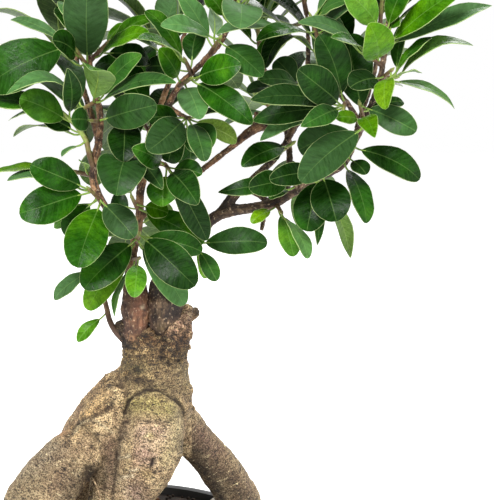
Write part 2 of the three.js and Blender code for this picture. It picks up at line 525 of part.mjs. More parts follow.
// A leaf of the spiral: the golden angle apart, leaning outwards and never towards the viewer where
// the shoot also has listed leaves. Each try draws anew.
function spiralLeaf(shoot, stem, count, place, seed) {
  const draw = seeded(seed);
  const share = count > 1 ? 0.25 + (0.75 * place) / (count - 1) : 1;
  const root = stemPoint(stem, share);
  const up = stem.at(-1).point.clone().sub(stem[0].point).normalize();
  const angle = place * 2.4 + 0.9 * (draw() - 0.5) + seed;
  const out = root.clone().sub(crownHeart).normalize();
  const across = new THREE.Vector3(0, 0, 1).cross(up).normalize();
  const other = up.clone().cross(across);
  const way = across.multiplyScalar(Math.cos(angle)).addScaledVector(other, Math.sin(angle));
  way.addScaledVector(out, 0.6).addScaledVector(up, 0.15 + 0.7 * share * draw());
  if (shoot.leaves && way.y < 0.15) way.y = 0.15 - way.y;
  way.z += 0.25 * (draw() - 0.3);
  way.normalize();
  const length = 41 + 11 * draw();
  const tip = root.clone().addScaledVector(way, length + petiole.length);
  const sky = new THREE.Vector3(0.5 * (draw() - 0.5), 0.5 * (draw() - 0.5), 1);
  const face = sky.addScaledVector(way, -sky.dot(way)).normalize();
  return { root, tip, face, width: length * (0.46 + 0.08 * draw()), bow: 0.05 + 0.12 * draw() };
}

function stemStations(stem) {
  return stem.map((s, i) => ({
    point: seen(s),
    radius: THREE.MathUtils.lerp(shootRadius.base, shootRadius.tip, i / (stem.length - 1)),
  }));
}

function stemPoint(stem, share) {
  const curve = new THREE.CatmullRomCurve3(stem.map((s) => s.point), false, 'catmullrom', 0.5);
  return curve.getPoint(share);
}

// A coarse tube round a branch or a stem, which leaves keep off.
function keepOff(stations, steps) {
  const samples = sample(stations, steps);
  samples.forEach((s) => { s.radius += clearance; });
  const { corners, triangles } = tube(samples, 5);
  const faces = [];
  for (let i = 0; i < triangles.length; i += 3) {
    faces.push(triangles.slice(i, i + 3));
  }
  return surface(corners, faces);
}

// Places every leaf so that it crosses no wood, no stem of another shoot and no leaf placed before.
function placeLeaves() {
  const wood = [...leftWood, ...rightWood].map((b) => keepOff(stationsOf(b), b.length - 1));
  const stems = shoots.map((shoot) => stemStations(shoot.stem));
  const stemBars = stems.map((stem) => keepOff(stem, stem.length - 1));
  const leaves = shoots.map(() => []);
  const placed = [];
  const isClear = (sheet, reach, blade, home) => !wood.some((bar) => cross(reach, bar))
    && !stemBars.some((bar, i) => i !== home && cross(sheet, bar))
    && !placed.some((other) => cross(other.home === home ? blade : sheet, other.shell));
  const tryLeaf = (leaf, home) => {
    const { points } = leafSheet(leaf, 0);
    const sheet = surface(points, pattern.faces);
    const blade = surface(points.slice(2), pattern.faces.slice(2).map((f) => f.map((v) => v - 2)));
    const stalk = points.slice(0, 2).map((p, i) => p.clone().lerp(points[i + 2], petiole.inWood));
    const reach = surface([...stalk, ...points.slice(2)], pattern.faces);
    if (!isClear(sheet, reach, blade, home)) return false;
    const { corners, faces } = leafBody(leaf, clearance);
    leaves[home].push(leaf);
    placed.push({ home, shell: surface(corners, faces) });
    return true;
  };
  shoots.forEach((shoot, home) => (shoot.leaves ?? []).forEach((row) => {
    for (let attempt = 0; attempt < tries.listed; attempt++) {
      if (tryLeaf(listedLeaf(stems[home], row, attempt), home)) return;
    }
  }));
  shoots.forEach((shoot, home) => {
    for (let place = 0; place < shoot.spiral; place++) {
      for (let attempt = 0; attempt < tries.spiral; attempt++) {
        const seed = home * 1000 + place * 20 + attempt + 1;
        const leaf = spiralLeaf(shoot, stems[home], shoot.spiral, place, seed);
        if (tryLeaf(leaf, home)) break;
      }
    }
  });
  return { stems, leaves };
}

function leafSolid(leaf) {
  const { corners, faces } = leafBody(leaf, 0);
  return solidOf(corners.flatMap((p) => p.toArray()), faces.flat());
}

// Bowl, soil and pebbles

function bowlSolid() {
  const { footRadius, rimRadius, height, wall, floor, lip, lipHeight, sides } = bowl;
  const inner = rimRadius - wall;
  const body = solidOfGeometry(lathe([
    [0, 0], [footRadius, 0], [footRadius + 22, 20], [footRadius + 35, 38],
    [rimRadius, height - lipHeight], [rimRadius + lip, height - lipHeight + 1],
    [rimRadius + lip, height - 0.5], [inner, height],
    [inner - 0.2, height - lipHeight], [footRadius + 31.8, 39.2], [footRadius + 18.8, 22],
    [footRadius - 1.2, floor], [0, floor],
  ], sides));
  const holes = Array.from({ length: bowl.holes }, (_, k) => {
    const angle = (2 * Math.PI * (k + 0.25)) / bowl.holes;
    const hole = new THREE.CylinderGeometry(bowl.holeRadius, bowl.holeRadius, 3 * floor, 12)
      .rotateX(Math.PI / 2)
      .translate(bowl.holeRing * Math.cos(angle), bowl.holeRing * Math.sin(angle), floor / 2);
    return solidOfGeometry(hole);
  });
  return holes.reduce((pot, hole) => pot.subtract(hole), body);
}

function soilHeight(radius) {
  const edge = bowl.rimRadius - bowl.wall;
  return soil.edge + (soil.crown - soil.edge) * Math.cos((Math.PI / 2) * (radius / edge) ** 2);
}

function soilSolid(plant) {
  const { footRadius, floor, sides, rimRadius, wall } = bowl;
  const edge = rimRadius - wall - 1;
  const tops = [edge, 66, 33].map((r) => [r, soilHeight(r)]);
  const body = solidOfGeometry(lathe([
    [0, floor + gap], [footRadius - 1.8, floor + gap], [footRadius + 18, 22.4],
    [footRadius + 31, 39.6], ...tops, [0, soilHeight(0)],
  ], sides));
  const draw = seeded(5);
  const chips = Array.from({ length: soil.chips }, (_, k) => {
    const angle = (k + draw()) * ((2 * Math.PI) / soil.chips);
    const radius = 60 + 28 * draw();
    const [long, thick] = [7 + 7 * draw(), 2.4 + 1.4 * draw()];
    const chip = new THREE.BoxGeometry(long, 3.5 + 3 * draw(), thick)
      .rotateX(0.3 * (draw() - 0.5))
      .rotateY(0.3 * (draw() - 0.5))
      .rotateZ(7 * draw())
      .translate(radius * Math.cos(angle), radius * Math.sin(angle), soilHeight(radius) + 0.6);
    return solidOfGeometry(chip);
  });
  return largest(joined([body, ...chips]).subtract(plant));
}

function pebbleSolid({ at: [x, y], size }) {
  const stone = new THREE.IcosahedronGeometry(size, 0).scale(1, 0.8, 0.62)
    .rotateZ(x)
    .translate(x, y, soilHeight(Math.hypot(x, y)) + 0.62 * size + gap);
  return solidOfGeometry(stone);
}

// Colour and roughness of each piece

const plastic = ['#1f1f21', 0.5];
const earth = ['#2c2018', 0.95];
const stone = ['#b9b0a2', 0.8];
const rootBark = ['#a8947a', 0.85];
const brownBark = ['#4a3328', 0.9];
const leafGreens = ['#2a5a24', '#1f4a1c', '#346b2a'];

// The plant

const grownLeft = woodSolid(leftWood, gap);
const grownRight = woodSolid(rightWood, gap);
const leftScion = largest(woodSolid(leftWood, 0).subtract(grownRight));
const rightScion = woodSolid(rightWood, 0);
const bark = { neck: 10, root: 8, stub: 6 };
const stock = joined([
  rootSolid(neck, bark.neck, 1),
  ...Object.values(roots).map((root, i) => rootSolid(root, bark.root, i + 2)),
  ...stubs.map((stub, i) => rootSolid(stub, bark.stub, i + 20)),
]);
const rootstock = largest(stock.subtract(grownLeft).subtract(grownRight));
const grownStock = joined(Object.values(roots).map((root, i) => {
  const end = root.at(-1);
  const grown = [...root.slice(0, -1), [end[0], end[1] - 2 * gap, end[2], end[3]]];
  return rootSolid(grown.map(([x, z, depth, r]) => [x, z, depth, r + 2 * gap]), bark.root, i + 2);
}));

const group = new THREE.Group();
group.add(meshOf('pot', bowlSolid(), plastic));
group.add(meshOf('soil', soilSolid(grownStock), earth));
pebbles.forEach((pebble, i) => group.add(meshOf(`pebble_${i + 1}`, pebbleSolid(pebble), stone)));
group.add(meshOf('rootstock', rootstock, rootBark));
group.add(meshOf('scion_left', leftScion, brownBark));
group.add(meshOf('scion_right', rightScion, brownBark));

const { stems, leaves } = placeLeaves();
shoots.forEach((shoot, i) => {
  const stem = solidTube(sample(stems[i], stems[i].length - 1), 3);
  const leafy = joined([stem, ...leaves[i].map(leafSolid)]);
  const cut = largest(leafy.subtract(grownLeft).subtract(grownRight).subtract(stock));
  group.add(meshOf(shoot.name, cut, [leafGreens[i % leafGreens.length], 0.4]));
});

export default group;
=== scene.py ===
import math

import bpy
import numpy as np
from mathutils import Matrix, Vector, noise


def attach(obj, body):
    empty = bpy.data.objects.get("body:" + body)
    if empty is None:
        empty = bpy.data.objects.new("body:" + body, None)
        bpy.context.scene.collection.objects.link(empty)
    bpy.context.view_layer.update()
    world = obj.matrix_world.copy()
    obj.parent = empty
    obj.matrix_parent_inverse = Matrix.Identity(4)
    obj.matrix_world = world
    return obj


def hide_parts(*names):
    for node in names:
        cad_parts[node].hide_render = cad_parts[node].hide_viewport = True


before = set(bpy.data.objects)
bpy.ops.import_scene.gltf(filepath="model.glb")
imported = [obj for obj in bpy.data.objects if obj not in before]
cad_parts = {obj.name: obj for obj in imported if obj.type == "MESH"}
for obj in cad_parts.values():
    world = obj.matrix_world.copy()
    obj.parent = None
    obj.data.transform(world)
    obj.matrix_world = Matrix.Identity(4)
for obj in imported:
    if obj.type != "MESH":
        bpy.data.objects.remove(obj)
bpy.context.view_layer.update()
print("frame loaded,", len(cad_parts), "nodes")

# Sizes and places are in millimetres. A mesh gets them in metres, through metres().

trunkLine = 22  # how far the trunk stands to the right of the bowl's middle
eye = np.array([trunkLine + 66.0, -750.0, 365.0])  # where the photograph was taken from
aim = np.array([trunkLine + 66.0, 0.0, 253.0])  # the point in the middle of that view

def metres(points):
    return np.asarray(points, float) / 1000

def unit(v):
    return v / np.linalg.norm(v)

# The point at depth that is seen at x and z. These are measured on the plane through aim that is
# square to the view, x from the trunk.
def seen(x, z, depth):
    up = unit(np.array([0, eye[2] - aim[2], aim[1] - eye[1]]))
    way = aim + up * (z - aim[2]) - eye
    way[0] = trunkLine + x - aim[0]
    return eye + way * ((depth - eye[1]) / way[1])

# Where a point is seen: the x and z of the call above.
def pictured(points):
    toAim = aim - eye
    ahead = unit(toAim)
    up = unit(np.array([0, eye[2] - aim[2], aim[1] - eye[1]]))
    way = np.asarray(points, float) - eye
    onPlane = way * (np.linalg.norm(toAim) / (way @ ahead))[..., None]
    return np.stack([onPlane[..., 0] - (trunkLine - eye[0]), aim[2] + onPlane @ up], axis=-1)

# Camera, floor and light

studio = {
    "lens": 88.06, "sensor": 36,
    "floor": 9.0, "floorGlow": 0.6,  # metres across, and how much light comes through it
    "skyline": 1.0, "dome": 0.33,  # brightness of the white wall around, and of the air above it
    "wallTop": (0.17, 0.5),  # heights in the sky between which the one turns to the other
    "lampAim": (trunkLine + 40, 0, 250),
    "lamps": [  # place and size in metres, watts: a large soft box high in front, a fill, a rim
        ((-0.4, -1.1, 1.45), 0.6, 40),
        ((1.1, -0.9, 0.8), 0.9, 7),
        ((0.5, 1.1, 1.4), 0.8, 22),
    ],
}

def deselect():
    if bpy.context.object and bpy.context.object.mode != "OBJECT":
        bpy.ops.object.mode_set(mode="OBJECT")
    bpy.ops.object.select_all(action="DESELECT")

def select(*objects):
    deselect()
    for thing in objects:
        thing.select_set(True)
    bpy.context.view_layer.objects.active = objects[0]

def linear(hexColour):  # an sRGB hex value as the linear colour that a shader takes
    channels = [int(hexColour[i:i + 2], 16) / 255 for i in (1, 3, 5)]
    return [c / 12.92 if c <= 0.04045 else ((c + 0.055) / 1.055) ** 2.4 for c in channels] + [1]

def aimAt(thing, target):
    direction = Vector(target) - thing.location
    thing.rotation_euler = direction.to_track_quat("-Z", "Y").to_euler()

def makeStudio():
    scene = bpy.context.scene
    deselect()
    bpy.ops.object.camera_add(location=metres(eye))
    camera = bpy.context.object
    camera.name = "photographCamera"
    aimAt(camera, metres(aim))
    camera.data.lens = studio["lens"]
    camera.data.sensor_width = studio["sensor"]
    camera.data.clip_start = 0.05  # metres
    scene.camera = camera
    for place, size, watts in studio["lamps"]:
        bpy.ops.object.light_add(type="AREA", location=place)
        lamp = bpy.context.object
        lamp.data.shape = "DISK"
        lamp.data.size = size
        lamp.data.energy = watts
        aimAt(lamp, metres(studio["lampAim"]))
    scene.world = scene.world or bpy.data.worlds.new("whiteStudio")
    scene.world.use_nodes = True
    sky = scene.world.node_tree
    around = addNode(sky, "TexCoord"), "Generated"
    height = addNode(sky, "SeparateXYZ", {}, {0: around})
    low, high = studio["wallTop"]
    light = addNode(sky, "MapRange", {
        "From Min": low, "From Max": high, "To Min": studio["skyline"], "To Max": studio["dome"]},
        {"Value": (height, "Z")})
    connect(sky, sky.nodes["Background"], {"Strength": light})
    sky.nodes["Background"].inputs["Color"].default_value = linear("#ffffff")
    scene.view_settings.view_transform = "Standard"
    deselect()
    bpy.ops.mesh.primitive_plane_add(size=studio["floor"], location=(0, 0, 0))
    floor = bpy.context.object
    floor.name = "paleFloor"
    floor.data.materials.append(paperMaterial())

# Materials. Every pattern's size is in millimetres of the real thing.

def outputOf(source):  # a node stands for its first output in use, and a pair names another one
    if isinstance(source, tuple):
        return source[0].outputs[source[1]]
    return next(socket for socket in source.outputs if socket.enabled)

def connect(tree, node, links):
    for key, source in links.items():
        tree.links.new(outputOf(source), node.inputs[key])

def addNode(tree, kind, settings={}, links={}):
    node = tree.nodes.new("ShaderNode" + kind)
    for key, value in settings.items():
        if isinstance(key, str) and key not in node.inputs and key != "stops":
            setattr(node, key, value)
    for key, value in settings.items():
        if key == "stops":
            while len(node.color_ramp.elements) < len(value):
                node.color_ramp.elements.new(1)
            for element, (place, colour) in zip(node.color_ramp.elements, value):
                element.position = place
                element.color = linear(colour)
        elif not isinstance(key, str) or key in node.inputs:
            isHex = isinstance(value, str) and value.startswith("#")
            node.inputs[key].default_value = linear(value) if isHex else value
    connect(tree, node, links)
    return node

def newMaterial(name, **settings):
    material = bpy.data.materials.new(name)
    material.use_nodes = True
    shader = material.node_tree.nodes["Principled BSDF"]
    for key, value in settings.items():
        shader.inputs[key.replace("_", " ")].default_value = value
    return material, material.node_tree, shader

def perMillimetre(size):  # the scale of a pattern on Object coordinates, which are in metres
    return 1000 / size

# Lays a colour over another where a pattern's value goes from the first level to the second.
def lay(tree, under, colour, pattern, levels, most):
    share = addNode(tree, "MapRange", {"From Min": levels[0], "From Max": levels[1], "To Max": most},
                    {"Value": pattern})
    return addNode(tree, "Mix", {"data_type": "RGBA", 7: colour}, {0: share, 6: under})

# Darkens a colour by the stops that a pattern's value picks.
def shade(tree, under, pattern, stops, share):
    shadow = addNode(tree, "ValToRGB", {"stops": stops}, {0: pattern})
    return addNode(tree, "Mix", {"data_type": "RGBA", "blend_type": "MULTIPLY", 0: share},
                   {6: under, 7: shadow})

# Gives the shader its colour, and relief from a pattern: depth is in metres.
def coat(tree, shader, colour, height, strength, depth):
    bump = addNode(tree, "Bump", {"Strength": strength, "Distance": depth}, {"Height": height})
    connect(tree, shader, {"Base Color": colour, "Normal": bump})

def paperMaterial():  # matt white background paper, lit from all sides
    material, tree, shader = newMaterial("backgroundPaper", Roughness=0.9)
    shader.inputs["Base Color"].default_value = linear("#fbfbfb")
    shader.inputs["Emission Color"].default_value = linear("#ffffff")
    shader.inputs["Emission Strength"].default_value = studio["floorGlow"]
    return material

# Painted shade and highlight: bark that lies in hollows is darkened as painted shade, and bark on ridges is
# brightened as a painted highlight.
def paintHollowShadeAndRidgeHighlight(tree, colour, dark, lowLevels, most, highLevels, brightest):
    crevice = addNode(tree, "Attribute", {"attribute_name": "crevice"}), "Fac"
    colour = lay(tree, colour, dark, crevice, lowLevels, most)
    low, high = highLevels
    bright = addNode(tree, "MapRange", {"From Min": low, "From Max": high, "To Min": 1, "To Max": brightest},
                     {"Value": crevice})
    return addNode(tree, "HueSaturation", {}, {"Value": bright, "Color": colour})

def rootBarkMaterial():
    # Live ficus bark: a thin tan cork over green wood, grown in damp shade. It is matt and granular,
    # blotched cream, olive and mauve, cracked across each root, with pale pores in short dashes.
    material, tree, shader = newMaterial("grownFicusRootBark", Roughness=0.72)
    place = addNode(tree, "TexCoord"), "Object"
    route = addNode(tree, "Attribute", {"attribute_name": "barkPlace"}), "Vector"
    blotch = addNode(tree, "TexNoise", {"Scale": perMillimetre(17), "Detail": 7, "Roughness": 0.68},
                     {"Vector": place})
    colour = addNode(tree, "ValToRGB", {"stops": [
        (0.34, "#b99a7c"), (0.44, "#d2b58d"), (0.53, "#e8cda0"), (0.66, "#fbe6b8")]}, {0: blotch})
    # painted patches, with ragged edges: bark colours, and also painted shade, shadow and highlights
    patch = addNode(tree, "Attribute", {"attribute_name": "patchColour"}), "Vector"
    share = addNode(tree, "Attribute", {"attribute_name": "patchShare"}), "Fac"
    ragged = addNode(tree, "TexNoise", {"Scale": perMillimetre(3.5), "Detail": 5, "Roughness": 0.7},
                     {"Vector": place})
    edge = addNode(tree, "MapRange", {"From Min": 0.3, "From Max": 0.7, "To Min": -0.35, "To Max": 0.35},
                   {"Value": ragged})
    cover = addNode(tree, "Math", {"operation": "MULTIPLY_ADD", "use_clamp": True},
                    {0: edge, 1: share, 2: share})
    colour = addNode(tree, "Mix", {"data_type": "RGBA"}, {0: cover, 6: colour, 7: patch})
    colour = shade(tree, colour, ragged, [(0.36, "#80705f"), (0.56, "#ffffff")], 0.7)
    # pores and cracks lie across the root, 5 mm long and about 1 mm apart
    stretched = addNode(tree, "Mapping", {"Scale": (1 / 5, 1 / 5, 1 / 1.1)}, {"Vector": route})
    cracks = addNode(tree, "TexNoise", {"Scale": 1, "Detail": 4, "Roughness": 0.7}, {"Vector": stretched})
    colour = lay(tree, colour, "#f6e6b6", cracks, (0.61, 0.66), 0.85)
    colour = lay(tree, colour, "#2e2015", cracks, (0.45, 0.37), 0.95)
    grit = addNode(tree, "TexNoise", {"Scale": perMillimetre(0.85), "Detail": 2, "Roughness": 0.7},
                   {"Vector": place})
    colour = shade(tree, colour, grit, [(0.37, "#211812"), (0.47, "#a4967f"), (0.56, "#ffffff")], 0.9)
    # old cracked bark, where crustShare says so
    crust = addNode(tree, "Attribute", {"attribute_name": "crustShare"}), "Fac"
    flakes = addNode(tree, "TexNoise", {"Scale": perMillimetre(3.4), "Detail": 5, "Roughness": 0.75},
                     {"Vector": place})
    flakeShade = addNode(tree, "ValToRGB", {"stops": [
        (0.38, "#1f1710"), (0.48, "#8a7c68"), (0.56, "#d8cbb4"), (0.64, "#ffffff")]}, {0: flakes})
    flakeCover = addNode(tree, "Math", {"operation": "MULTIPLY", 1: 0.9}, {0: crust})
    colour = addNode(tree, "Mix", {"data_type": "RGBA", "blend_type": "MULTIPLY"},
                     {0: flakeCover, 6: colour, 7: flakeShade})
    # painted shade in the rootstock's hollows, painted highlight on its ridges
    colour = paintHollowShadeAndRidgeHighlight(tree, colour, "#2b1e14", (0.08, 0.7), 0.8, (-0.1, -0.8), 1.7)
    height = addNode(tree, "Math", {"operation": "MULTIPLY_ADD", 1: 1.4}, {0: cracks, 2: grit})
    coat(tree, shader, colour, height, 1, 0.0013)
    return material

def brownBarkMaterial(name, dark, middle, pale):
    # Bark of young grafted ficus wood: thin brown cork that splits lengthwise as the branch thickens,
    # with small pale breathing pores. Matt, with dark cracks.
    material, tree, shader = newMaterial(name, Roughness=0.8)
    place = addNode(tree, "TexCoord"), "Object"
    route = addNode(tree, "Attribute", {"attribute_name": "barkPlace"}), "Vector"
    blotch = addNode(tree, "TexNoise", {"Scale": perMillimetre(8), "Detail": 6, "Roughness": 0.65},
                     {"Vector": place})
    colour = addNode(tree, "ValToRGB", {"stops": [(0.36, dark), (0.48, middle), (0.62, pale)]},
                     {0: blotch})
    # cracks about 1.5 mm apart and 8 mm long
    lengthwise = addNode(tree, "Mapping", {"Scale": (1 / 1.5, 1 / 1.5, 1 / 8)}, {"Vector": route})
    cracks = addNode(tree, "TexNoise", {"Scale": 1, "Detail": 3, "Roughness": 0.6}, {"Vector": lengthwise})
    colour = lay(tree, colour, "#1b110c", cracks, (0.5, 0.38), 0.9)
    patch = addNode(tree, "Attribute", {"attribute_name": "patchColour"}), "Vector"
    share = addNode(tree, "Attribute", {"attribute_name": "patchShare"}), "Fac"
    colour = addNode(tree, "Mix", {"data_type": "RGBA"}, {0: share, 6: colour, 7: patch})
    pores = addNode(tree, "TexNoise", {"Scale": perMillimetre(1.6), "Detail": 2}, {"Vector": place})
    colour = lay(tree, colour, "#b39c80", pores, (0.6, 0.72), 0.5)
    # painted shade in the branches' hollows, painted highlight on their ridges
    colour = paintHollowShadeAndRidgeHighlight(tree, colour, "#20140e", (0.03, 0.4), 0.7, (-0.05, -0.5), 2)
    height = addNode(tree, "Math", {"operation": "MULTIPLY_ADD", 1: 1.5}, {0: cracks, 2: blotch})
    coat(tree, shader, colour, height, 1, 0.0008)
    return material

leafSizes = {"veinStep": 3.1, "veinSlope": 0.62, "midrib": 0.36, "margin": 0.32}  # mm

leafSides = {
    "upper": {
        "ages": [(0, "#0d2c02"), (0.2, "#1f4f03"), (0.45, "#4a7d06"), (0.8, "#78a30f"), (1, "#94b41a")],
        "wax": "#6b955f", "paintedSheenShare": 0.58, "dust": 0.02,
        "vein": "#6d9646", "veinShare": 0.03, "midrib": "#7d9f55", "midribShare": 0.2,
        "margin": "#b4c583", "marginHighlightShare": 0.5,
        "gloss": (0.2, 0.4), "relief": -0.3,
    },
    "under": {
        "ages": [(0, "#46642a"), (0.2, "#52722c"), (0.45, "#668a32"), (0.8, "#86a838"), (1, "#9abb4a")],
        "wax": "#8da28c", "paintedSheenShare": 0.6, "dust": 0.12,
        "vein": "#a9bd78", "veinShare": 0.1, "midrib": "#a3b566", "midribShare": 0.5,
        "margin": "#b4c583", "marginHighlightShare": 0.35,
        "gloss": (0.45, 0.6), "relief": 0.3,
    },
}

def leafUpperMaterial():
    # Upper side of a ficus leaf: thick, with a waxy skin that is smooth and glossy. Dark green when
    # old and yellow-green when young, with a pale midrib and faint side veins. A grey sheen and pale
    # sheen streaks are painted on, and the pale margin is a painted highlight along the edge.
    material, tree, shader = newMaterial("waxyFicusLeafUpper", IOR=1.45, Specular_IOR_Level=0.07)
    paintLeaf(tree, shader, leafSides["upper"])
    return material

def leafUnderMaterial():
    # Underside: the same leaf without the thick wax, so paler, yellower and duller.
    material, tree, shader = newMaterial("mattFicusLeafUnderside", IOR=1.45, Specular_IOR_Level=0.3)
    paintLeaf(tree, shader, leafSides["under"])
    return material

# Colours one side of the leaves from where a point lies on its leaf and how old the leaf is.
def paintLeaf(tree, shader, side):
    place = addNode(tree, "TexCoord"), "Object"
    spot = addNode(tree, "Attribute", {"attribute_name": "leafPlace"}), "Vector"
    where = addNode(tree, "SeparateXYZ", {}, {0: spot})
    tint = addNode(tree, "Attribute", {"attribute_name": "leafTint"}), "Vector"
    look = addNode(tree, "SeparateXYZ", {}, {0: tint})
    broad = addNode(tree, "TexNoise", {"Scale": perMillimetre(16), "Detail": 3}, {"Vector": place})
    shift = addNode(tree, "MapRange", {"From Min": 0.3, "From Max": 0.7, "To Min": -0.14, "To Max": 0.14},
                    {"Value": broad})
    age = addNode(tree, "Math", {"operation": "ADD", "use_clamp": True}, {0: (look, "X"), 1: shift})
    colour = addNode(tree, "ValToRGB", {"stops": side["ages"]}, {0: age})
    fine = addNode(tree, "TexNoise", {"Scale": perMillimetre(1.1), "Detail": 3}, {"Vector": place})
    colour = shade(tree, colour, fine, [(0.35, "#98a08c"), (0.65, "#ffffff")], 0.5)
    toned = addNode(tree, "HueSaturation", {}, {"Value": (look, "Y"), "Color": colour})
    # painted sheen: the green is mixed toward a grey-green by the leaf's sheen amount
    sheenAmount = addNode(tree, "Math", {"operation": "MULTIPLY", 1: side["paintedSheenShare"]}, {0: (look, "Z")})
    colour = addNode(tree, "Mix", {"data_type": "RGBA", 7: side["wax"]}, {0: sheenAmount, 6: toned})
    # side veins leave the midrib at a slant, evenly spaced, and fade before the margin
    out = addNode(tree, "Math", {"operation": "ABSOLUTE"}, {0: (where, "X")})
    slant = addNode(tree, "Math", {"operation": "MULTIPLY", 1: leafSizes["veinSlope"]}, {0: out})
    back = addNode(tree, "Math", {"operation": "SUBTRACT"}, {0: (where, "Y"), 1: slant})
    # and the flesh between them is puckered, with darker and duller streaks that run the same way
    leafSeed = addNode(tree, "Math", {"operation": "MULTIPLY", 1: 900}, {0: (look, "X")})
    flesh = addNode(tree, "CombineXYZ", {}, {0: (where, "X"), 1: back, 2: leafSeed})
    stretched = addNode(tree, "Mapping", {"Scale": (1 / 7, 1 / 2.6, 1)}, {"Vector": flesh})
    streaks = addNode(tree, "TexNoise", {"Scale": 1, "Detail": 4, "Roughness": 0.7}, {"Vector": stretched})
    colour = shade(tree, colour, streaks, [(0.34, "#9aa080"), (0.6, "#ffffff")], 0.55)
    # pale streaks along the side veins: a painted sheen
    colour = lay(tree, colour, side["wax"], streaks, (0.52, 0.75), side["dust"])
    wobble = addNode(tree, "Math", {"operation": "MULTIPLY_ADD", 1: 1.6}, {0: broad, 2: back})
    cycle = addNode(tree, "Math", {"operation": "PINGPONG", 1: leafSizes["veinStep"] / 2}, {0: wobble})
    vein = addNode(tree, "MapRange", {"From Min": 0.42, "From Max": 0.05}, {"Value": cycle})
    inner = addNode(tree, "MapRange", {"From Min": 0.3, "From Max": 2}, {"Value": (where, "Z")})
    veinShare = addNode(tree, "Math", {"operation": "MULTIPLY"}, {0: vein, 1: inner})
    veinTint = addNode(tree, "Math", {"operation": "MULTIPLY", 1: side["veinShare"]}, {0: veinShare})
    colour = addNode(tree, "Mix", {"data_type": "RGBA", 7: side["vein"]}, {0: veinTint, 6: colour})
    midrib, margin = leafSizes["midrib"], leafSizes["margin"]
    ribWidth = addNode(tree, "MapRange", {  # it narrows from the stalk towards the tip
        "From Min": 0, "From Max": 42, "To Min": midrib * 1.3, "To Max": midrib * 0.3},
        {"Value": (where, "Y")})
    ribPlace = addNode(tree, "Math", {"operation": "DIVIDE"}, {0: out, 1: ribWidth})
    rib = addNode(tree, "MapRange", {"From Min": 1.2, "From Max": 0.55, "To Max": side["midribShare"]},
                  {"Value": ribPlace})
    colour = addNode(tree, "Mix", {"data_type": "RGBA", 7: side["midrib"]}, {0: rib, 6: colour})
    # the pale margin is a painted highlight along the leaf's edge
    colour = lay(tree, colour, side["margin"], (where, "Z"), (margin, margin * 0.3), side["marginHighlightShare"])
    low, high = side["gloss"]
    smooth = addNode(tree, "MapRange", {"From Min": 0.35, "From Max": 0.65, "To Min": low, "To Max": high},
                     {"Value": streaks})
    dull = addNode(tree, "Math", {"operation": "MULTIPLY_ADD", 1: 0.25}, {0: (look, "Z"), 2: smooth})
    ribHeight = addNode(tree, "Math", {"operation": "MULTIPLY_ADD", 1: 0.15}, {0: veinShare, 2: rib})
    pucker = addNode(tree, "TexNoise", {"Scale": perMillimetre(3.4), "Detail": 4, "Roughness": 0.6},
                     {"Vector": place})
    skin = addNode(tree, "Math", {"operation": "MULTIPLY_ADD", 1: -2.6}, {0: pucker, 2: ribHeight})
    bump = addNode(tree, "Bump", {"Strength": abs(side["relief"]), "Distance": 0.0004,
                                  "invert": side["relief"] < 0}, {"Height": skin})
    connect(tree, shader, {"Base Color": colour, "Roughness": dull, "Normal": bump})

def stalkMaterial():
    # Leaf stalk and the ridge that it makes under the blade: juicy and pale yellow-green.
    material, tree, shader = newMaterial("greenLeafStalk", Roughness=0.45, IOR=1.45)
    place = addNode(tree, "TexCoord"), "Object"
    mottle = addNode(tree, "TexNoise", {"Scale": perMillimetre(5), "Detail": 3}, {"Vector": place})
    colour = addNode(tree, "ValToRGB", {"stops": [(0.3, "#617f2e"), (0.7, "#8ba549")]}, {0: mottle})
    connect(tree, shader, {"Base Color": colour})
    return material

def stemMaterial():
    # Stem of this year's shoot: green skin that turns to brown bark where it leaves the branch.
    material, tree, shader = newMaterial("youngShootBark", Roughness=0.6, IOR=1.45)
    place = addNode(tree, "TexCoord"), "Object"
    route = addNode(tree, "Attribute", {"attribute_name": "leafPlace"}), "Vector"
    where = addNode(tree, "SeparateXYZ", {}, {0: route})
    tint = addNode(tree, "Attribute", {"attribute_name": "leafTint"}), "Vector"
    look = addNode(tree, "SeparateXYZ", {}, {0: tint})
    mottle = addNode(tree, "TexNoise", {"Scale": perMillimetre(3), "Detail": 4}, {"Vector": place})
    green = addNode(tree, "MapRange", {"From Min": 4, "From Max": 24, "To Min": -0.3, "To Max": 0.35},
                    {"Value": (where, "Z")})
    fresh = addNode(tree, "Math", {"operation": "ADD"}, {0: green, 1: (look, "X")})
    age = addNode(tree, "Math", {"operation": "ADD", "use_clamp": True}, {0: fresh, 1: mottle})
    colour = addNode(tree, "ValToRGB", {"stops": [
        (0.2, "#4a3425"), (0.5, "#6b5238"), (0.72, "#7a7140"), (1, "#86974a")]}, {0: age})
    coat(tree, shader, colour, mottle, 0.5, 0.0003)
    return material

def potMaterial():
    # Polypropylene, injection moulded in black: a fine even spark-eroded skin, a little dusty.
    material, tree, shader = newMaterial("mouldedPolypropylene", Roughness=0.45, IOR=1.49)
    place = addNode(tree, "TexCoord"), "Object"
    dust = addNode(tree, "TexNoise", {"Scale": perMillimetre(22), "Detail": 5}, {"Vector": place})
    colour = addNode(tree, "ValToRGB", {"stops": [(0.4, "#1b1b1d"), (0.75, "#2c2b2b")]}, {0: dust})
    rough = addNode(tree, "MapRange", {"From Min": 0.35, "From Max": 0.7, "To Min": 0.38, "To Max": 0.6},
                    {"Value": dust})
    connect(tree, shader, {"Roughness": rough})
    skin = addNode(tree, "TexNoise", {"Scale": perMillimetre(0.6), "Detail": 2}, {"Vector": place})
    coat(tree, shader, colour, skin, 0.25, 0.0001)
    return material

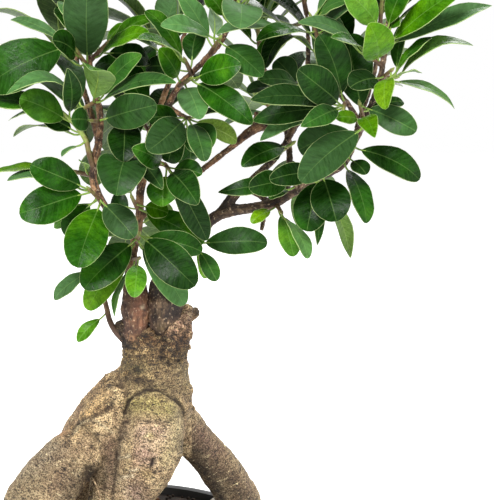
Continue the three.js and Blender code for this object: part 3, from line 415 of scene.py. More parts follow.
# A grainy finish in which one pattern gives both the colour and the relief.
def grainyMaterial(name, size, detail, stops, depth, roughness):
    material, tree, shader = newMaterial(name, Roughness=roughness)
    place = addNode(tree, "TexCoord"), "Object"
    grain = addNode(tree, "TexNoise", {"Scale": perMillimetre(size), "Detail": detail, "Roughness": 0.7},
                    {"Vector": place})
    colour = addNode(tree, "ValToRGB", {"stops": stops}, {0: grain})
    coat(tree, shader, colour, grain, 0.8, depth)
    return material

def soilMaterial():
    # Peat and compost, sieved and pressed down: nearly black, matt, with brown fibres.
    return grainyMaterial("siftedPottingMix", 2.4, 6, [
        (0.35, "#120c08"), (0.52, "#2a1d14"), (0.66, "#46321f"), (0.8, "#6a5036")], 0.0006, 0.95)

def chipMaterial():
    # Pine bark, chipped: red-brown and layered, dry and matt.
    return grainyMaterial("chippedPineBark", 3, 5, [
        (0.35, "#2b1a10"), (0.52, "#52341f"), (0.7, "#7d5836")], 0.0005, 0.9)

def pebbleMaterial():
    # Limestone grit, water-worn: pale grey, chalky, with faint darker specks.
    material, tree, shader = newMaterial("wornLimestone", Roughness=0.75, IOR=1.5)
    place = addNode(tree, "TexCoord"), "Object"
    cloud = addNode(tree, "TexNoise", {"Scale": perMillimetre(4), "Detail": 5}, {"Vector": place})
    colour = addNode(tree, "ValToRGB", {"stops": [
        (0.35, "#8d857a"), (0.5, "#b9b1a5"), (0.68, "#d9d3c8")]}, {0: cloud})
    specks = addNode(tree, "TexVoronoi", {"Scale": perMillimetre(1.2)}, {"Vector": place})
    colour = lay(tree, colour, "#6f6960", specks, (0.26, 0.12), 0.6)
    coat(tree, shader, colour, cloud, 0.4, 0.0003)
    return material

# Shapes that several pieces are made of

def curvePoint(points, t):  # on a smooth curve through the points, t from 0 to 1
    last = len(points) - 1
    at = t * last
    low = min(int(math.floor(at)), last - 1) if at >= last else int(math.floor(at))
    w = at - low
    a, b = points[low], points[low + 1]
    before = points[low - 1] if low > 0 else 2 * points[0] - points[1]
    after = points[low + 2] if low + 2 <= last else 2 * points[last] - points[last - 1]
    slopeA, slopeB = (b - before) / 2, (after - a) / 2
    return (a + slopeA * w + (3 * (b - a) - 2 * slopeA - slopeB) * w ** 2
            + (2 * (a - b) + slopeA + slopeB) * w ** 3)

def curveWay(points, t):
    return unit(curvePoint(points, min(t + 1e-4, 1)) - curvePoint(points, max(t - 1e-4, 0)))

# The solids' leaves and swellings come from the same draws
drawRule = {"spread": 7919, "start": 12345, "times": 1664525, "plus": 1013904223, "limit": 2 ** 32}

def seeded(seed):  # the same draws between 0 and 1 every time
    limit = drawRule["limit"]
    state = (seed * drawRule["spread"] + drawRule["start"]) % limit

    def draw():
        nonlocal state
        state = (state * drawRule["times"] + drawRule["plus"]) % limit
        return state / limit

    return draw

# Places along a branch: [point, way, radius] at steps equal steps of the curve.
def walk(points, radii, steps):
    stops = []
    for i in range(steps + 1):
        t = i / steps
        at = t * (len(points) - 1)
        low = min(int(math.floor(at)), len(points) - 2)
        radius = radii[low] + (radii[low + 1] - radii[low]) * (at - low)
        stops.append([curvePoint(points, t), curveWay(points, t), radius])
    return stops

def ringFrames(stops):  # two directions square to the way, turned as little as possible
    frames = []
    across = np.array([0.0, 1.0, 0.0])
    for _, way, _ in stops:
        across = unit(across - way * (across @ way))
        frames.append((across, np.cross(way, across)))
    return frames

def stationsOf(branch):
    return [seen(*row[:3]) for row in branch], [row[3] for row in branch]

def readPoints(mesh):
    co = np.empty(len(mesh.vertices) * 3, np.float32)
    mesh.vertices.foreach_get("co", co)
    return co.reshape(-1, 3).astype(float)

def writePoints(mesh, points):
    mesh.vertices.foreach_set("co", np.asarray(points, np.float32).ravel())
    mesh.update()

def pointsOf(thing):  # in millimetres
    return readPoints(thing.data) * 1000

def setPoints(thing, points):
    writePoints(thing.data, metres(points))

def keep(mesh, name, kind, values):  # one value for each point of the mesh, for its material
    layer = mesh.attributes.get(name) or mesh.attributes.new(name, kind, "POINT")
    field = "value" if kind == "FLOAT" else "vector"
    layer.data.foreach_set(field, np.asarray(values, np.float32).ravel())

def closeSkin(weld):  # joins the seam of a wrapped grid, within weld, and closes its ends
    bpy.ops.object.mode_set(mode="EDIT")
    bpy.ops.mesh.select_all(action="SELECT")
    bpy.ops.mesh.remove_doubles(threshold=weld)
    bpy.ops.mesh.fill_holes(sides=0)
    bpy.ops.mesh.select_all(action="SELECT")
    bpy.ops.mesh.normals_make_consistent(inside=False)
    bpy.ops.object.mode_set(mode="OBJECT")

# A grid wrapped round the path, closed at both ends. bump gives the share of the radius at an angle
# and a place.
def pathTube(name, points, radii, sides, rings, bump=None):
    stops = walk(points, radii, rings)
    frames = ringFrames(stops)
    deselect()
    bpy.ops.mesh.primitive_grid_add(x_subdivisions=sides, y_subdivisions=rings, size=2)
    tube = bpy.context.object
    tube.name = name
    grid = readPoints(tube.data)
    wrapped = []
    for x, y, _ in grid:
        angle = (x + 1) * math.pi
        i = int(round((y + 1) / 2 * rings))
        centre, _, radius = stops[i]
        across, other = frames[i]
        r = radius * (bump(angle, i / rings) if bump else 1)
        wrapped.append(centre + across * (r * math.cos(angle)) + other * (r * math.sin(angle)))
    setPoints(tube, wrapped)
    closeSkin(0.00001)
    return tube

def join(name, parts):
    select(*parts)
    if len(parts) > 1:
        bpy.ops.object.join()
    whole = bpy.context.object
    whole.name = name
    whole.data.name = name
    return whole

def useModifier(thing, kind, **settings):
    select(thing)
    modifier = thing.modifiers.new(kind.lower(), kind)
    for key, value in settings.items():
        setattr(modifier, key, value)
    bpy.ops.object.modifier_apply(modifier=modifier.name)

def fuse(thing, voxel, smooth):  # joined tubes become one skin, as grown wood is
    useModifier(thing, "REMESH", mode="VOXEL", voxel_size=voxel / 1000)
    useModifier(thing, "SMOOTH", factor=0.5, iterations=smooth)

def relief(thing, name, size, height, detail=2, group="", middle=0.5):  # cloudy bumps of the skin
    texture = bpy.data.textures.new(name, "CLOUDS")
    texture.noise_scale = size / 1000
    texture.noise_depth = detail
    useModifier(thing, "DISPLACE", texture=texture, texture_coords="LOCAL",
                strength=height / 1000, mid_level=middle, vertex_group=group)

def weigh(thing, group, weights, levels=20):  # a vertex group, as if painted
    layer = thing.vertex_groups.new(name=group)
    steps = np.round(np.clip(weights, 0, 1) * levels).astype(int)
    for step in range(1, levels + 1):
        layer.add(np.nonzero(steps == step)[0].tolist(), step / levels, "REPLACE")

def spun(points, angle):  # turned about the upright axis
    cs, sn = math.cos(angle), math.sin(angle)
    x, y, z = points.T
    return np.stack([x * cs - y * sn, x * sn + y * cs, z], axis=1)

def normalsOf(mesh):
    normals = np.empty(len(mesh.vertices) * 3, np.float32)
    mesh.vertices.foreach_get("normal", normals)
    return normals.reshape(-1, 3).astype(float)

# How far each point lies below or above its surroundings, in millimetres, a hollow being positive.
def hollows(mesh, rounds):
    points = readPoints(mesh) * 1000
    edges = np.empty(len(mesh.edges) * 2, np.int32)
    mesh.edges.foreach_get("vertices", edges)
    a, b = edges.reshape(-1, 2).T
    count = np.bincount(np.concatenate([a, b]), minlength=len(points))[:, None]
    smooth = points.copy()
    for _ in range(rounds):
        total = np.zeros_like(smooth)
        for axis in range(3):
            total[:, axis] = (np.bincount(a, smooth[b, axis], len(points))
                              + np.bincount(b, smooth[a, axis], len(points)))
        smooth = total / np.maximum(count, 1)
    return np.einsum("ij,ij->i", smooth - points, normalsOf(mesh))

barkRoute = {"steps": 10, "apart": 137, "batch": 4000}  # for each station, mm, points at a time

# Where each point lies on the nearest branch: across it both ways, and along it, in millimetres.
# The branches start apart, so that no two have the same bark.
def along(points, branches):
    centres, ways, sides, radii, lengths = [], [], [], [], []
    start = 0
    for branchPoints, branchRadii in branches:
        stops = walk(branchPoints, branchRadii, barkRoute["steps"] * (len(branchPoints) - 1))
        frames = ringFrames(stops)
        line = np.array([s[0] for s in stops])
        step = np.linalg.norm(np.diff(line, axis=0), axis=1)
        lengths.append(start + np.concatenate([[0], np.cumsum(step)]))
        centres.append(line)
        ways.append(np.array([s[1] for s in stops]))
        radii.append(np.array([s[2] for s in stops]))
        sides.append(np.array(frames))
        start += barkRoute["apart"]
    centres, ways, radii = np.concatenate(centres), np.concatenate(ways), np.concatenate(radii)
    sides, lengths = np.concatenate(sides), np.concatenate(lengths)
    places = np.empty((len(points), 3))
    for first in range(0, len(points), barkRoute["batch"]):
        some = slice(first, first + barkRoute["batch"])
        away = np.linalg.norm(points[some, None] - centres[None], axis=2) / radii
        near = away.argmin(axis=1)
        offset = points[some] - centres[near]
        places[some, 0] = np.einsum("ij,ij->i", offset, sides[near, 0])
        places[some, 1] = np.einsum("ij,ij->i", offset, sides[near, 1])
        places[some, 2] = lengths[near] + np.einsum("ij,ij->i", offset, ways[near])
    return places

def finish(piece, slot, *nodes):  # the piece rides with the plant and stands for its nodes
    select(piece)
    bpy.ops.object.shade_smooth()
    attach(piece, "root")
    if nodes:
        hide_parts(*nodes)

# Wood: each root, stub and branch is a list of stations, (x, z, depth, radius) with the first three
# as seen() takes them
neckStations = [
    (8, 138, 0, 20.5), (8, 158, 0, 25), (8, 174, 0, 22.4), (8, 189, 0, 20.2), (8.5, 197, 0, 19.6),
    (9, 204, 2, 15),
]
rootStations = {
    "left_front": [(-14, 150, -8, 10), (-22, 138, -16, 12.2), (-36, 130, -27, 16),
                   (-48.7, 118, -34, 18.5), (-61.7, 98.6, -41, 20.8), (-67, 84, -42, 20.3),
                   (-70, 66, -41, 16.5), (-68, 43, -38, 8.5)],
    "left_back": [(-3.5, 171, 4, 13.3), (-11, 164, 7, 15.9), (-21, 154, 11, 17), (-29, 145, 14, 17),
                  (-34.5, 134, 17, 17), (-40, 117, 20, 15.5), (-44, 100, 22, 13.5),
                  (-46, 66, 22, 7.5)],
    "centre": [(9, 168, -6, 5), (10, 163, -10, 11), (9.5, 156, -15, 16.8), (8, 145, -18, 19.8),
               (5.5, 131, -21, 20.4), (0.5, 115, -23, 17), (-5.5, 99, -25, 12), (-8, 80, -26, 9.3),
               (-9, 50, -26, 6.2)],
    "right": [(14, 160, 3, 14.5), (24, 147, 6, 13.4), (33, 136, 10, 12.7), (42.7, 125.8, 13, 12.3),
              (50.5, 116, 16, 12.7), (57, 106, 18, 13.2), (61.5, 96, 20, 14), (62, 84, 20, 12),
              (60, 66, 19, 7.8)],
    "inner": [(-12, 166, -10, 10.2), (-18, 154, -15, 13.2), (-25, 140, -20, 15.8),
              (-23, 126, -20, 13.3), (-21, 114, -19, 9.8), (-23, 100, -19, 9.3),
              (-24, 80, -19, 7.5), (-24, 52, -19, 4.8)],
    "back": [(4, 168, 10, 15.3), (4, 152, 26, 15.3), (1.5, 134, 40, 14.3), (-1.5, 116, 50, 13),
             (-3, 97, 56, 11), (-3, 76, 56, 6.5)],
    "back_left": [(-3, 168, 8, 14.3), (-13.5, 150, 24, 13.8), (-21.5, 130, 38, 12.8),
                  (-28, 110, 47, 11), (-31, 94, 50, 8.5), (-31, 74, 50, 5)],
}
stubStations = [
    [(18, 192, -8, 12), (23, 202, -10, 10.5), (27.5, 211, -8, 7), (30.5, 223, -4, 4)],
    [(27, 210, 0, 4), (33, 213.5, -1, 3.6), (36, 215, -1, 2.6)],
    [(-5, 198, -5, 7), (-10, 203, -6, 5.5), (-12, 209, -6, 3.8)],
]
leftWood = [
    [(-3, 192, -6, 5), (-3, 198, -8, 7.6), (-2.8, 210, -8, 8.6), (-3, 221, -8, 8.6),
     (-3.6, 230, -6, 7.4), (-6, 241, -3, 3.4), (-4, 255, -3, 2.7), (-1, 270, -2, 2.7),
     (0, 290, 0, 2.6), (4, 306, 4, 2.5), (10, 325, 8, 2.3), (17, 342, 8, 2.1), (23.5, 354.5, 6, 2),
     (31.5, 362.5, 4, 1.9), (41, 372, 2, 1.9), (50, 382.5, 0, 1.8), (57, 398, 2, 1.6),
     (60, 416, 4, 1.4), (62, 430, 6, 1.1)],
    [(-4, 260, -3, 2.3), (-13, 271, -8, 2.3), (-22.5, 281, -12, 2.4), (-29, 295, -14, 2.4),
     (-28.5, 308, -12, 2.5), (-26, 320, -10, 2.5), (-25, 336, -8, 2.2), (-28, 351, -6, 2),
     (-31, 366, -6, 1.8), (-33, 384, -4, 1.6), (-32, 402, 0, 1.4), (-29, 420, 4, 1.1)],
    [(-1, 272, -2, 1.9), (18, 288, 8, 1.9), (38.5, 303, 10, 1.9), (54, 315, 11, 1.9),
     (70.5, 328, 12, 3.2), (82, 329, 14, 1.9), (92, 332, 17, 1.8), (104, 339, 22, 1.5)],
    [(70.5, 328, 12, 2.2), (72, 339, 12, 1.3)],
    [(0, 290, 0, 2.2), (2, 305, 18, 2.2), (6, 326, 34, 2.1), (14, 347, 44, 1.9), (22, 368, 48, 1.7),
     (28, 390, 48, 1.4)],
    [(-26, 320, -10, 2.1), (-29, 332, 8, 2), (-34, 348, 24, 1.8), (-39, 366, 34, 1.6),
     (-40, 386, 38, 1.3)],
    [(1, 304, 3, 2.2), (8, 307, -4, 1.8), (15, 306, -10, 1.5)],
    [(17, 342, 8, 1.7), (23, 338, 2, 1.6), (28, 335, -4, 1.4)],
]
rightWood = [
    [(13, 192, -8, 3.5), (14, 200, -8, 8), (15, 212, -8, 10.8), (15.3, 222, -7, 10.6),
     (15.5, 231, -5, 9.8), (19.5, 241, -1, 7), (25.5, 249, 2, 5.2), (32, 257, 3, 4.3),
     (42, 270, 4, 3.8), (52.5, 276.5, 4, 3.7), (68, 279, 4, 3.4), (83, 282, 4, 3.2),
     (96, 290, 3, 3.1), (108, 297, 1, 2.8), (125, 306, -2, 2.7), (132.5, 320.5, -2, 2.4),
     (139.5, 335, -2, 2.3), (144.5, 346, -2, 2.2), (149, 362, -2, 1.9), (152, 382, 0, 1.6),
     (154, 400, 3, 1.2)],
    [(47, 273, 4, 3), (57.5, 286, 6, 3), (64, 291.5, 8, 2.8), (75, 302, 13, 2.4),
     (83, 310, 18, 2.3), (92, 323, 25, 2.1), (99, 340, 30, 1.9), (103, 360, 32, 1.7),
     (104, 380, 30, 1.5), (103, 399, 28, 1.2)],
    [(64, 291.5, 8, 2.4), (71, 288.5, 9, 2), (78, 284, 7, 1.8), (83, 282, 4, 1.6)],
    [(76, 280, 4, 1.6), (76.5, 274, 1, 1.5), (75, 265, -1, 1.3)],
    [(137, 330, -2, 1.9), (129, 343, 0, 1.8), (122, 352, 2, 1.6), (116, 366, 6, 1.4),
     (110, 384, 8, 1.2)],
    [(92, 323, 25, 1.9), (100, 336, 38, 1.9), (108, 352, 48, 1.7), (112, 370, 53, 1.5),
     (112, 390, 52, 1.2)],
    [(132.5, 320.5, -2, 1.9), (136, 334, 16, 1.9), (141, 350, 30, 1.7), (146, 368, 37, 1.5),
     (148, 386, 38, 1.2)],
    [(90, 286, 4, 2.2), (92, 300, 22, 2.2), (92, 318, 40, 2.1), (88, 336, 52, 1.9),
     (80, 354, 58, 1.7), (74, 374, 60, 1.4)],
]

# Leafy shoots: the stem's stations, any leaves that the spiral rule adds, and the listed leaves.
# Such a leaf is (share of the stem, x, z and depth of its tip, width, turn, bow, look): it faces the
# viewer at turn 0 and upwards at 90, and bow is its rise as a share of its length.
shoots = [
    {"name": "shoot_left_crest", "stem": [(-31, 364, -6), (-43, 381, -20)],
     "leaves": [(0.2, -31, 425, -34, 27, 6, 0.1, "blue"), (0.5, -54, 383, -40, 18, 35, 0.1, "dark"),
      (1, -95, 355, -30, 32, 22, 0.1, "green"), (0.25, -91, 374, -52, 15, 74, 0.2, "grey"),
      (0.9, -81, 397, 8, 9, 40, 0.1, "grey")]},
    {"name": "shoot_left_hub", "spiral": 1, "stem": [(-26, 346, -7), (-35, 341, -22)],
     "leaves": [(0.8, -83, 350, -50, 16, 66, 0.3, "grey"), (0.3, -30, 366, -58, 21, 150, 0.15, "fresh"),
      (0.1, 0.5, 374, -30, 15, 42, 0.1, "green"), (0.3, 21.5, 357.5, -42, 14, 56, 0.1, "green")]},
    {"name": "shoot_left_inner", "spiral": 3, "stem": [(-31.5, 370, -5), (-22, 380, -4)],
     "leaves": [(0.2, 4.5, 388, -26, 15, 62, 0.1, "fresh"), (0.9, 8, 397, -8, 14, 58, 0.1, "green"),
      (0.7, -9, 394, -22, 8, 40, 0.1, "fresh"), (0.6, 6, 371, 14, 16, 30, 0.1, "dark")]},
    {"name": "shoot_left_twin", "stem": [(-28.8, 303, -13), (-31.5, 311, -16), (-34, 321, -18),
                                         (-40, 330, -20), (-50, 339.5, -22)],
     "leaves": [(1, -98, 345, -26, 20, 60, 0.1, "green"), (0.62, -61, 335, -24, 13, 30, 0.1, "dark"),
      (0.93, -82, 334, -10, 12, 84, 0.1, "grey"), (0.62, -79, 325, -8, 13, 82, 0.14, "green"),
      (0.5, -49, 311, -28, 9, 70, 0.1, "grey"), (0.85, -45, 365, -36, 12, 20, 0.1, "dark"),
      (0.8, -75, 347, -12, 20, 22, 0.1, "green")]},
    {"name": "shoot_left_stem", "spiral": 1, "stem": [(-25.5, 333, -8), (-30, 333, -22)],
     "leaves": [(0.8, -43, 334, -44, 14, 12, 0.1, "green"), (0.2, 9.5, 343, -38, 21, 4, 0.1, "dark")]},
    {"name": "shoot_left_low", "spiral": 2, "stem": [(-23, 282, -12), (-31, 290, -24)],
     "leaves": [(1, -68, 306, -38, 19, 10, 0.1, "dark"), (0.9, -75, 276, -42, 23, 12, 0.1, "green"),
      (0.2, -39, 242, -52, 25, 4, 0.1, "green"), (0.35, -4, 261, -34, 18, 8, 0.1, "blue"),
      (0.5, -47, 262, -30, 17, 30, 0.1, "dark"), (0.35, -54, 267, 2, 10, 30, 0.1, "fresh")]},
    {"name": "shoot_left_side", "stem": [(-29, 299, -14), (-48, 303, -4)],
     "leaves": [(1, -97, 297, -8, 14, 72, 0.1, "young"), (0.15, -37, 308, -26, 7, 120, 0.1, "fresh")]},
    {"name": "shoot_heart_left", "spiral": 1, "stem": [(4, 306, 4), (-8, 314, -12)],
     "leaves": [(0.9, -15, 288, -52, 29, 12, 0.2, "dark"),
      (0.35, 13.5, 290.5, -36, 11, 6, 0.1, "dark")]},
    {"name": "shoot_heart_hang", "spiral": 3, "stem": [(14, 334, 8), (-10, 336, -4)],
     "leaves": [(0.95, -11, 309, -22, 20, 10, 0.1, "dark")]},
    {"name": "shoot_heart_low", "stem": [(-3.5, 257, -3), (-1, 263, -18)],
     "leaves": [(0.6, -35, 229, -40, 22, 6, 0.1, "dark"), (1, 33.5, 231, -44, 23, 6, 0.1, "dark"),
      (0.5, 27, 219, -22, 17, 10, 0.1, "grey"), (0.9, 38, 252, -26, 15, 10, 0.1, "green"),
      (0.2, -33, 216, -22, 17, 12, 0.1, "fresh")]},
    {"name": "shoot_heart_young", "stem": [(-5, 247, -3), (-1, 248, -17)],
     "leaves": [(0.9, -4, 224, -46, 13, 0, 0.1, "fresh"), (0.4, -17, 212, -26, 8, 60, 0.1, "green")]},
    {"name": "shoot_heart_up", "stem": [(-1, 277, -1), (-5, 285, -14)],
     "leaves": [(0.8, -11, 303, -24, 13, 20, 0.1, "green"), (0.6, 17, 276, -14, 13, 24, 0.1, "fresh"),
      (0.3, 39.5, 258, -30, 18, 12, 0.1, "green"), (0.2, -19, 281, 16, 18, 30, 0.1, "dark")]},
    {"name": "shoot_heart_right", "stem": [(15, 306, -10), (17, 304, -20)],
     "leaves": [(0.2, -4, 316, -34, 15, 12, 0.1, "green"), (0.7, 38, 300, -36, 14, 20, 0.1, "dark"),
      (1, 35, 282, -48, 18, 6, 0.1, "dark"), (0.6, 14, 280, -30, 20, 8, 0.1, "green"),
      (0.9, 41.5, 259, -26, 16, 14, 0.1, "dark")]},
    {"name": "shoot_heart_twig", "stem": [(28, 335, -4), (30, 335, -14)],
     "leaves": [(0.5, 42, 314.5, -28, 21, 4, 0.1, "green"), (0.3, 5, 315, -34, 21, 4, 0.1, "dark"),
      (1, 40, 309, -46, 14, 25, 0.1, "dark"), (0.1, 4, 335, -26, 15, 12, 0.1, "green"),
      (0.6, 60, 321, -22, 13, 150, 0.1, "young"), (0.3, 66, 340, -12, 10, 60, 0.1, "dark"),
      (0.2, 31, 307, 12, 20, 20, 0.1, "dark"), (0.5, 17, 307, 16, 16, 20, 0.1, "dark")]},
    {"name": "shoot_mid_low", "spiral": 1, "stem": [(23.5, 354.5, 6), (31, 359, -13)],
     "leaves": [(1, 62, 368, -34, 19, 26, 0.1, "green"), (1, 69, 332, -46, 18, 22, 0.1, "dark"),
      (0.5, 37, 334, -50, 18, 12, 0.1, "grey"), (0.3, 12, 378, -20, 15, 30, 0.1, "green")]},
    {"name": "shoot_mid_side", "spiral": 1, "stem": [(31.5, 362.5, 4), (28, 370, -8)],
     "leaves": [(0.9, -1, 385, -26, 14, 80, 0.1, "green"), (0.6, 4, 402, -10, 14, 45, 0.1, "green"),
      (0.3, 37, 390, 18, 16, 30, 0.1, "dark"), (0.2, 3, 366, 16, 15, 30, 0.1, "dark")]},
    {"name": "shoot_mid_high", "stem": [(43, 374.5, 2), (49, 384, -15)],
     "leaves": [(1, 13, 393, -36, 15, 55, 0.1, "grey"), (0.9, 76, 361, -34, 20, 28, 0.1, "dark"),
      (0.6, 44, 403, -20, 13, 130, 0.1, "grey"), (0.4, 24, 412, -8, 14, 30, 0.1, "grey")]},
    {"name": "shoot_mid_top", "spiral": 2, "stem": [(54, 390, 1), (61, 408, -12)],
     "leaves": [(0.2, 40, 412, -20, 14, 40, 0.1, "green"), (1, 62, 391, -54, 24, 20, 0.1, "grey"),
      (0.8, 88, 424, -16, 18, 45, 0.1, "green")]},
    {"name": "shoot_mid_branch", "spiral": 4, "stem": [(103, 395, 28), (92, 391, 6)],
     "leaves": [(1, 47, 387, -8, 15, 60, 0.1, "grey"), (0.4, 70, 370, 2, 12, 20, 0.1, "green")]},
    {"name": "shoot_fork", "spiral": 2, "stem": [(97, 337, 29), (101, 355, 6)],
     "leaves": [(1, 74, 359, -24, 14, 40, 0.1, "dark"), (0.7, 66, 352, 6, 15, 60, 0.1, "dark"),
      (0.8, 84, 371, 16, 16, 25, 0.1, "dark")]},
    {"name": "shoot_fork_low", "spiral": 1, "stem": [(85, 313, 19), (94, 319, 2)],
     "leaves": [(1, 63, 305.5, -24, 15, 30, 0.1, "dark"), (0.6, 80, 309, 0, 9, 40, 0.1, "dark")]},
    {"name": "shoot_limb_mid", "stem": [(97, 290.5, 3), (95, 298, -12)],
     "leaves": [(0.8, 68, 292, -34, 16, 12, 0.1, "dark"), (0.6, 48, 289, -16, 11, 20, 0.1, "dark"),
      (0.3, 80, 285, -14, 9, 40, 0.1, "green")]},
    {"name": "shoot_limb_low", "stem": [(84, 281.5, 4), (87, 277, -9)],
     "leaves": [(0.4, 95, 249, -22, 14, 30, 0.1, "fresh"), (1, 104, 248, -26, 13, 55, 0.1, "olive"),
      (0.2, 69, 270, -14, 9, 30, 0.1, "young")]},
    {"name": "shoot_limb_hang", "stem": [(108, 297, 1), (112, 302, -14)],
     "leaves": [(1, 121.5, 271, -40, 24, 8, 0.1, "dark"), (0.7, 103, 265, -30, 22, 6, 0.1, "dark"),
      (0.4, 130.5, 248, -12, 14, 130, 0.1, "fresh"), (0.2, 110, 256, 6, 8, 30, 0.1, "dark"),
      (0.9, 81, 297, -42, 14, 14, 0.1, "dark")]},
    {"name": "shoot_limb_right", "stem": [(125, 306, -2), (131, 318, -12)],
     "leaves": [(1, 173, 297, -26, 18, 28, 0.13, "dark"), (0.2, 141, 270.5, -24, 17, 40, 0.1, "green"),
      (0.5, 140, 300, -22, 12, 30, 0.1, "dark")]},
    {"name": "shoot_limb_face", "stem": [(136, 327, -2), (139, 330, -16)],
     "leaves": [(0.9, 100, 296, -46, 21, 10, 0.1, "dark"), (0.3, 98, 315, 6, 21, 20, 0.1, "dark")]},
    {"name": "shoot_limb_glossy", "spiral": 2, "stem": [(138.5, 333, -2), (136, 343, -14)],
     "leaves": [(1, 171, 326.5, -34, 16, 14, 0.1, "blue"), (0.3, 145, 323.5, -24, 12, 10, 0.1, "young"),
      (0.6, 163, 345.5, 4, 10, 40, 0.1, "dark"), (0.1, 121, 335, -24, 9, 20, 0.1, "young")]},
    {"name": "shoot_right_hub", "stem": [(127, 345.5, 1), (126, 341, -15)],
     "leaves": [(0.9, 98, 365, -38, 21, 14, 0.1, "dark"), (0.3, 111, 386, -22, 22, 20, 0.1, "dark"),
      (0.6, 68, 346, -34, 17, 42, 0.1, "dark"), (1, 69.5, 333.5, -28, 16, 30, 0.1, "dark"),
      (0.9, 100, 330.5, -44, 13, 20, 0.1, "green"), (0.4, 74, 321, -12, 13, 45, 0.1, "grey")]},
    {"name": "shoot_right_high", "spiral": 4, "stem": [(112, 378, 7), (106, 396, -2)],
     "leaves": [(1, 128, 408, -18, 15, 60, 0.1, "green"), (0.6, 72, 384, 8, 14, 60, 0.1, "green"),
      (0.1, 77, 366, -18, 18, 70, 0.4, "dark")]},
    {"name": "shoot_right_arch", "stem": [(150, 367, -2), (141, 374, -10)],
     "leaves": [(1, 98, 395, -16, 14, 58, 0.16, "grey"), (0.7, 118, 385, -28, 12, 80, 0.1, "green"),
      (0.2, 142, 393, -34, 21, 14, 0.1, "young")]},
    {"name": "shoot_right_young", "stem": [(148, 358, -2), (155, 364, -15)],
     "leaves": [(1, 151.5, 341, -38, 14, 30, 0.2, "young"), (0.5, 130, 354, -36, 17, 30, 0.1, "dark")]},
    {"name": "shoot_right_crest", "spiral": 2, "stem": [(151.5, 378, 0), (151, 389, -9)],
     "leaves": [(1, 126, 413, -16, 21, 30, 0.1, "young"), (0.6, 160, 398, 12, 13, 50, 0.1, "green"),
      (0.15, 199, 414, -14, 17, 36, 0.05, "fresh"), (0.8, 168, 424, -6, 16, 30, 0.1, "green"),
      (0.1, 217.5, 406, 6, 18, 48, 0.04, "grey")]},
    {"name": "shoot_right_side", "spiral": 1, "stem": [(148.5, 360, -2), (157, 360, 6)],
     "leaves": [(0.8, 206, 380.5, 0, 14, 61, 0.22, "olive"),
      (0.5, 195.5, 341.5, 10, 12, 64, 0.1, "olive"), (0.7, 180.5, 385, -6, 11, 60, 0.1, "green"),
      (0.3, 174.5, 363, 6, 8, 86, 0.1, "grey")]},
    {"name": "shoot_low_twig", "stem": [(-9, 196, -8), (-15, 202, -8), (-19, 209, -6), (-21.5, 219, -3),
                                        (-28, 243, 2)],
     "leaves": [(1, -54, 222.5, 6, 13, 46, 0.04, "grey"), (0.68, -39, 196, -12, 9, 30, 0.1, "fresh")]},
    {"name": "shoot_back_low", "stem": [(-3, 262, 1), (-4, 272, 18)],
     "leaves": [(1, -18, 242, 44, 20, 195, 0.1, "dark"), (0.8, 17, 249, 42, 20, 170, 0.1, "green"),
      (0.45, -25, 271, 36, 18, 215, 0.1, "dark"), (0.6, 20, 277, 40, 18, 160, 0.1, "green")]},
    {"name": "shoot_back_limb", "stem": [(104, 294, 5), (109, 304, 22)],
     "leaves": [(1, 121, 280, 46, 19, 200, 0.1, "dark"), (0.8, 98, 268, 40, 19, 170, 0.1, "green"),
      (0.5, 82, 300, 44, 17, 150, 0.1, "dark"), (0.9, 124, 318, 50, 18, 120, 0.1, "green")]},
    {"name": "shoot_back_stem", "stem": [(-29, 305, -10), (-33, 318, 9)],
     "leaves": [(1, -27, 293, 34, 18, 195, 0.1, "dark"), (0.8, -14, 300, 38, 19, 165, 0.1, "green"),
      (0.5, -15, 332, 30, 17, 120, 0.1, "dark"), (0.9, -30, 342, 46, 17, 130, 0.1, "green")]},
    {"name": "shoot_top_left", "spiral": 6, "stem": [(-32, 402, 0), (-26, 424, 8)]},
    {"name": "shoot_top_mid", "spiral": 7, "stem": [(60, 416, 4), (64, 436, 2)]},
    {"name": "shoot_top_right", "spiral": 5, "stem": [(152, 386, 0), (160, 418, 8)]},
    {"name": "shoot_top_inner", "spiral": 7, "stem": [(103, 399, 28), (98, 424, 18)]},
    {"name": "shoot_back_a", "spiral": 6, "stem": [(6, 326, 34), (-4, 340, 54)]},
    {"name": "shoot_back_b", "spiral": 8, "stem": [(22, 368, 48), (10, 386, 66)]},
    {"name": "shoot_back_c", "spiral": 7, "stem": [(28, 390, 48), (33, 414, 48)]},
    {"name": "shoot_back_d", "spiral": 5, "stem": [(-39, 366, 34), (-50, 381, 54)]},
    {"name": "shoot_back_e", "spiral": 6, "stem": [(-40, 386, 38), (-33, 410, 38)]},
    {"name": "shoot_back_f", "spiral": 8, "stem": [(88, 336, 52), (72, 348, 68)]},
    {"name": "shoot_back_g", "spiral": 8, "stem": [(74, 374, 60), (72, 401, 60)]},
    {"name": "shoot_back_h", "spiral": 7, "stem": [(108, 352, 48), (122, 363, 68)]},
    {"name": "shoot_back_i", "spiral": 6, "stem": [(112, 390, 52), (116, 416, 48)]},
    {"name": "shoot_back_k", "spiral": 6, "stem": [(148, 386, 38), (150, 412, 34)]},
    {"name": "shoot_heart_side", "stem": [(31.5, 256.5, 3), (34, 257.5, -10)],
     "leaves": [(0.9, 78.5, 257.5, -16, 18, 14, 0.05, "dark"),
      (0.8, 47.5, 234, -18, 11, 20, 0.1, "dark"), (0.5, 41, 235.5, 2, 7, 20, 0.1, "young")]},
]

# Bark: what the photo shows on it. A stroke is a line of (x, z) as seen, with a width in millimetres.

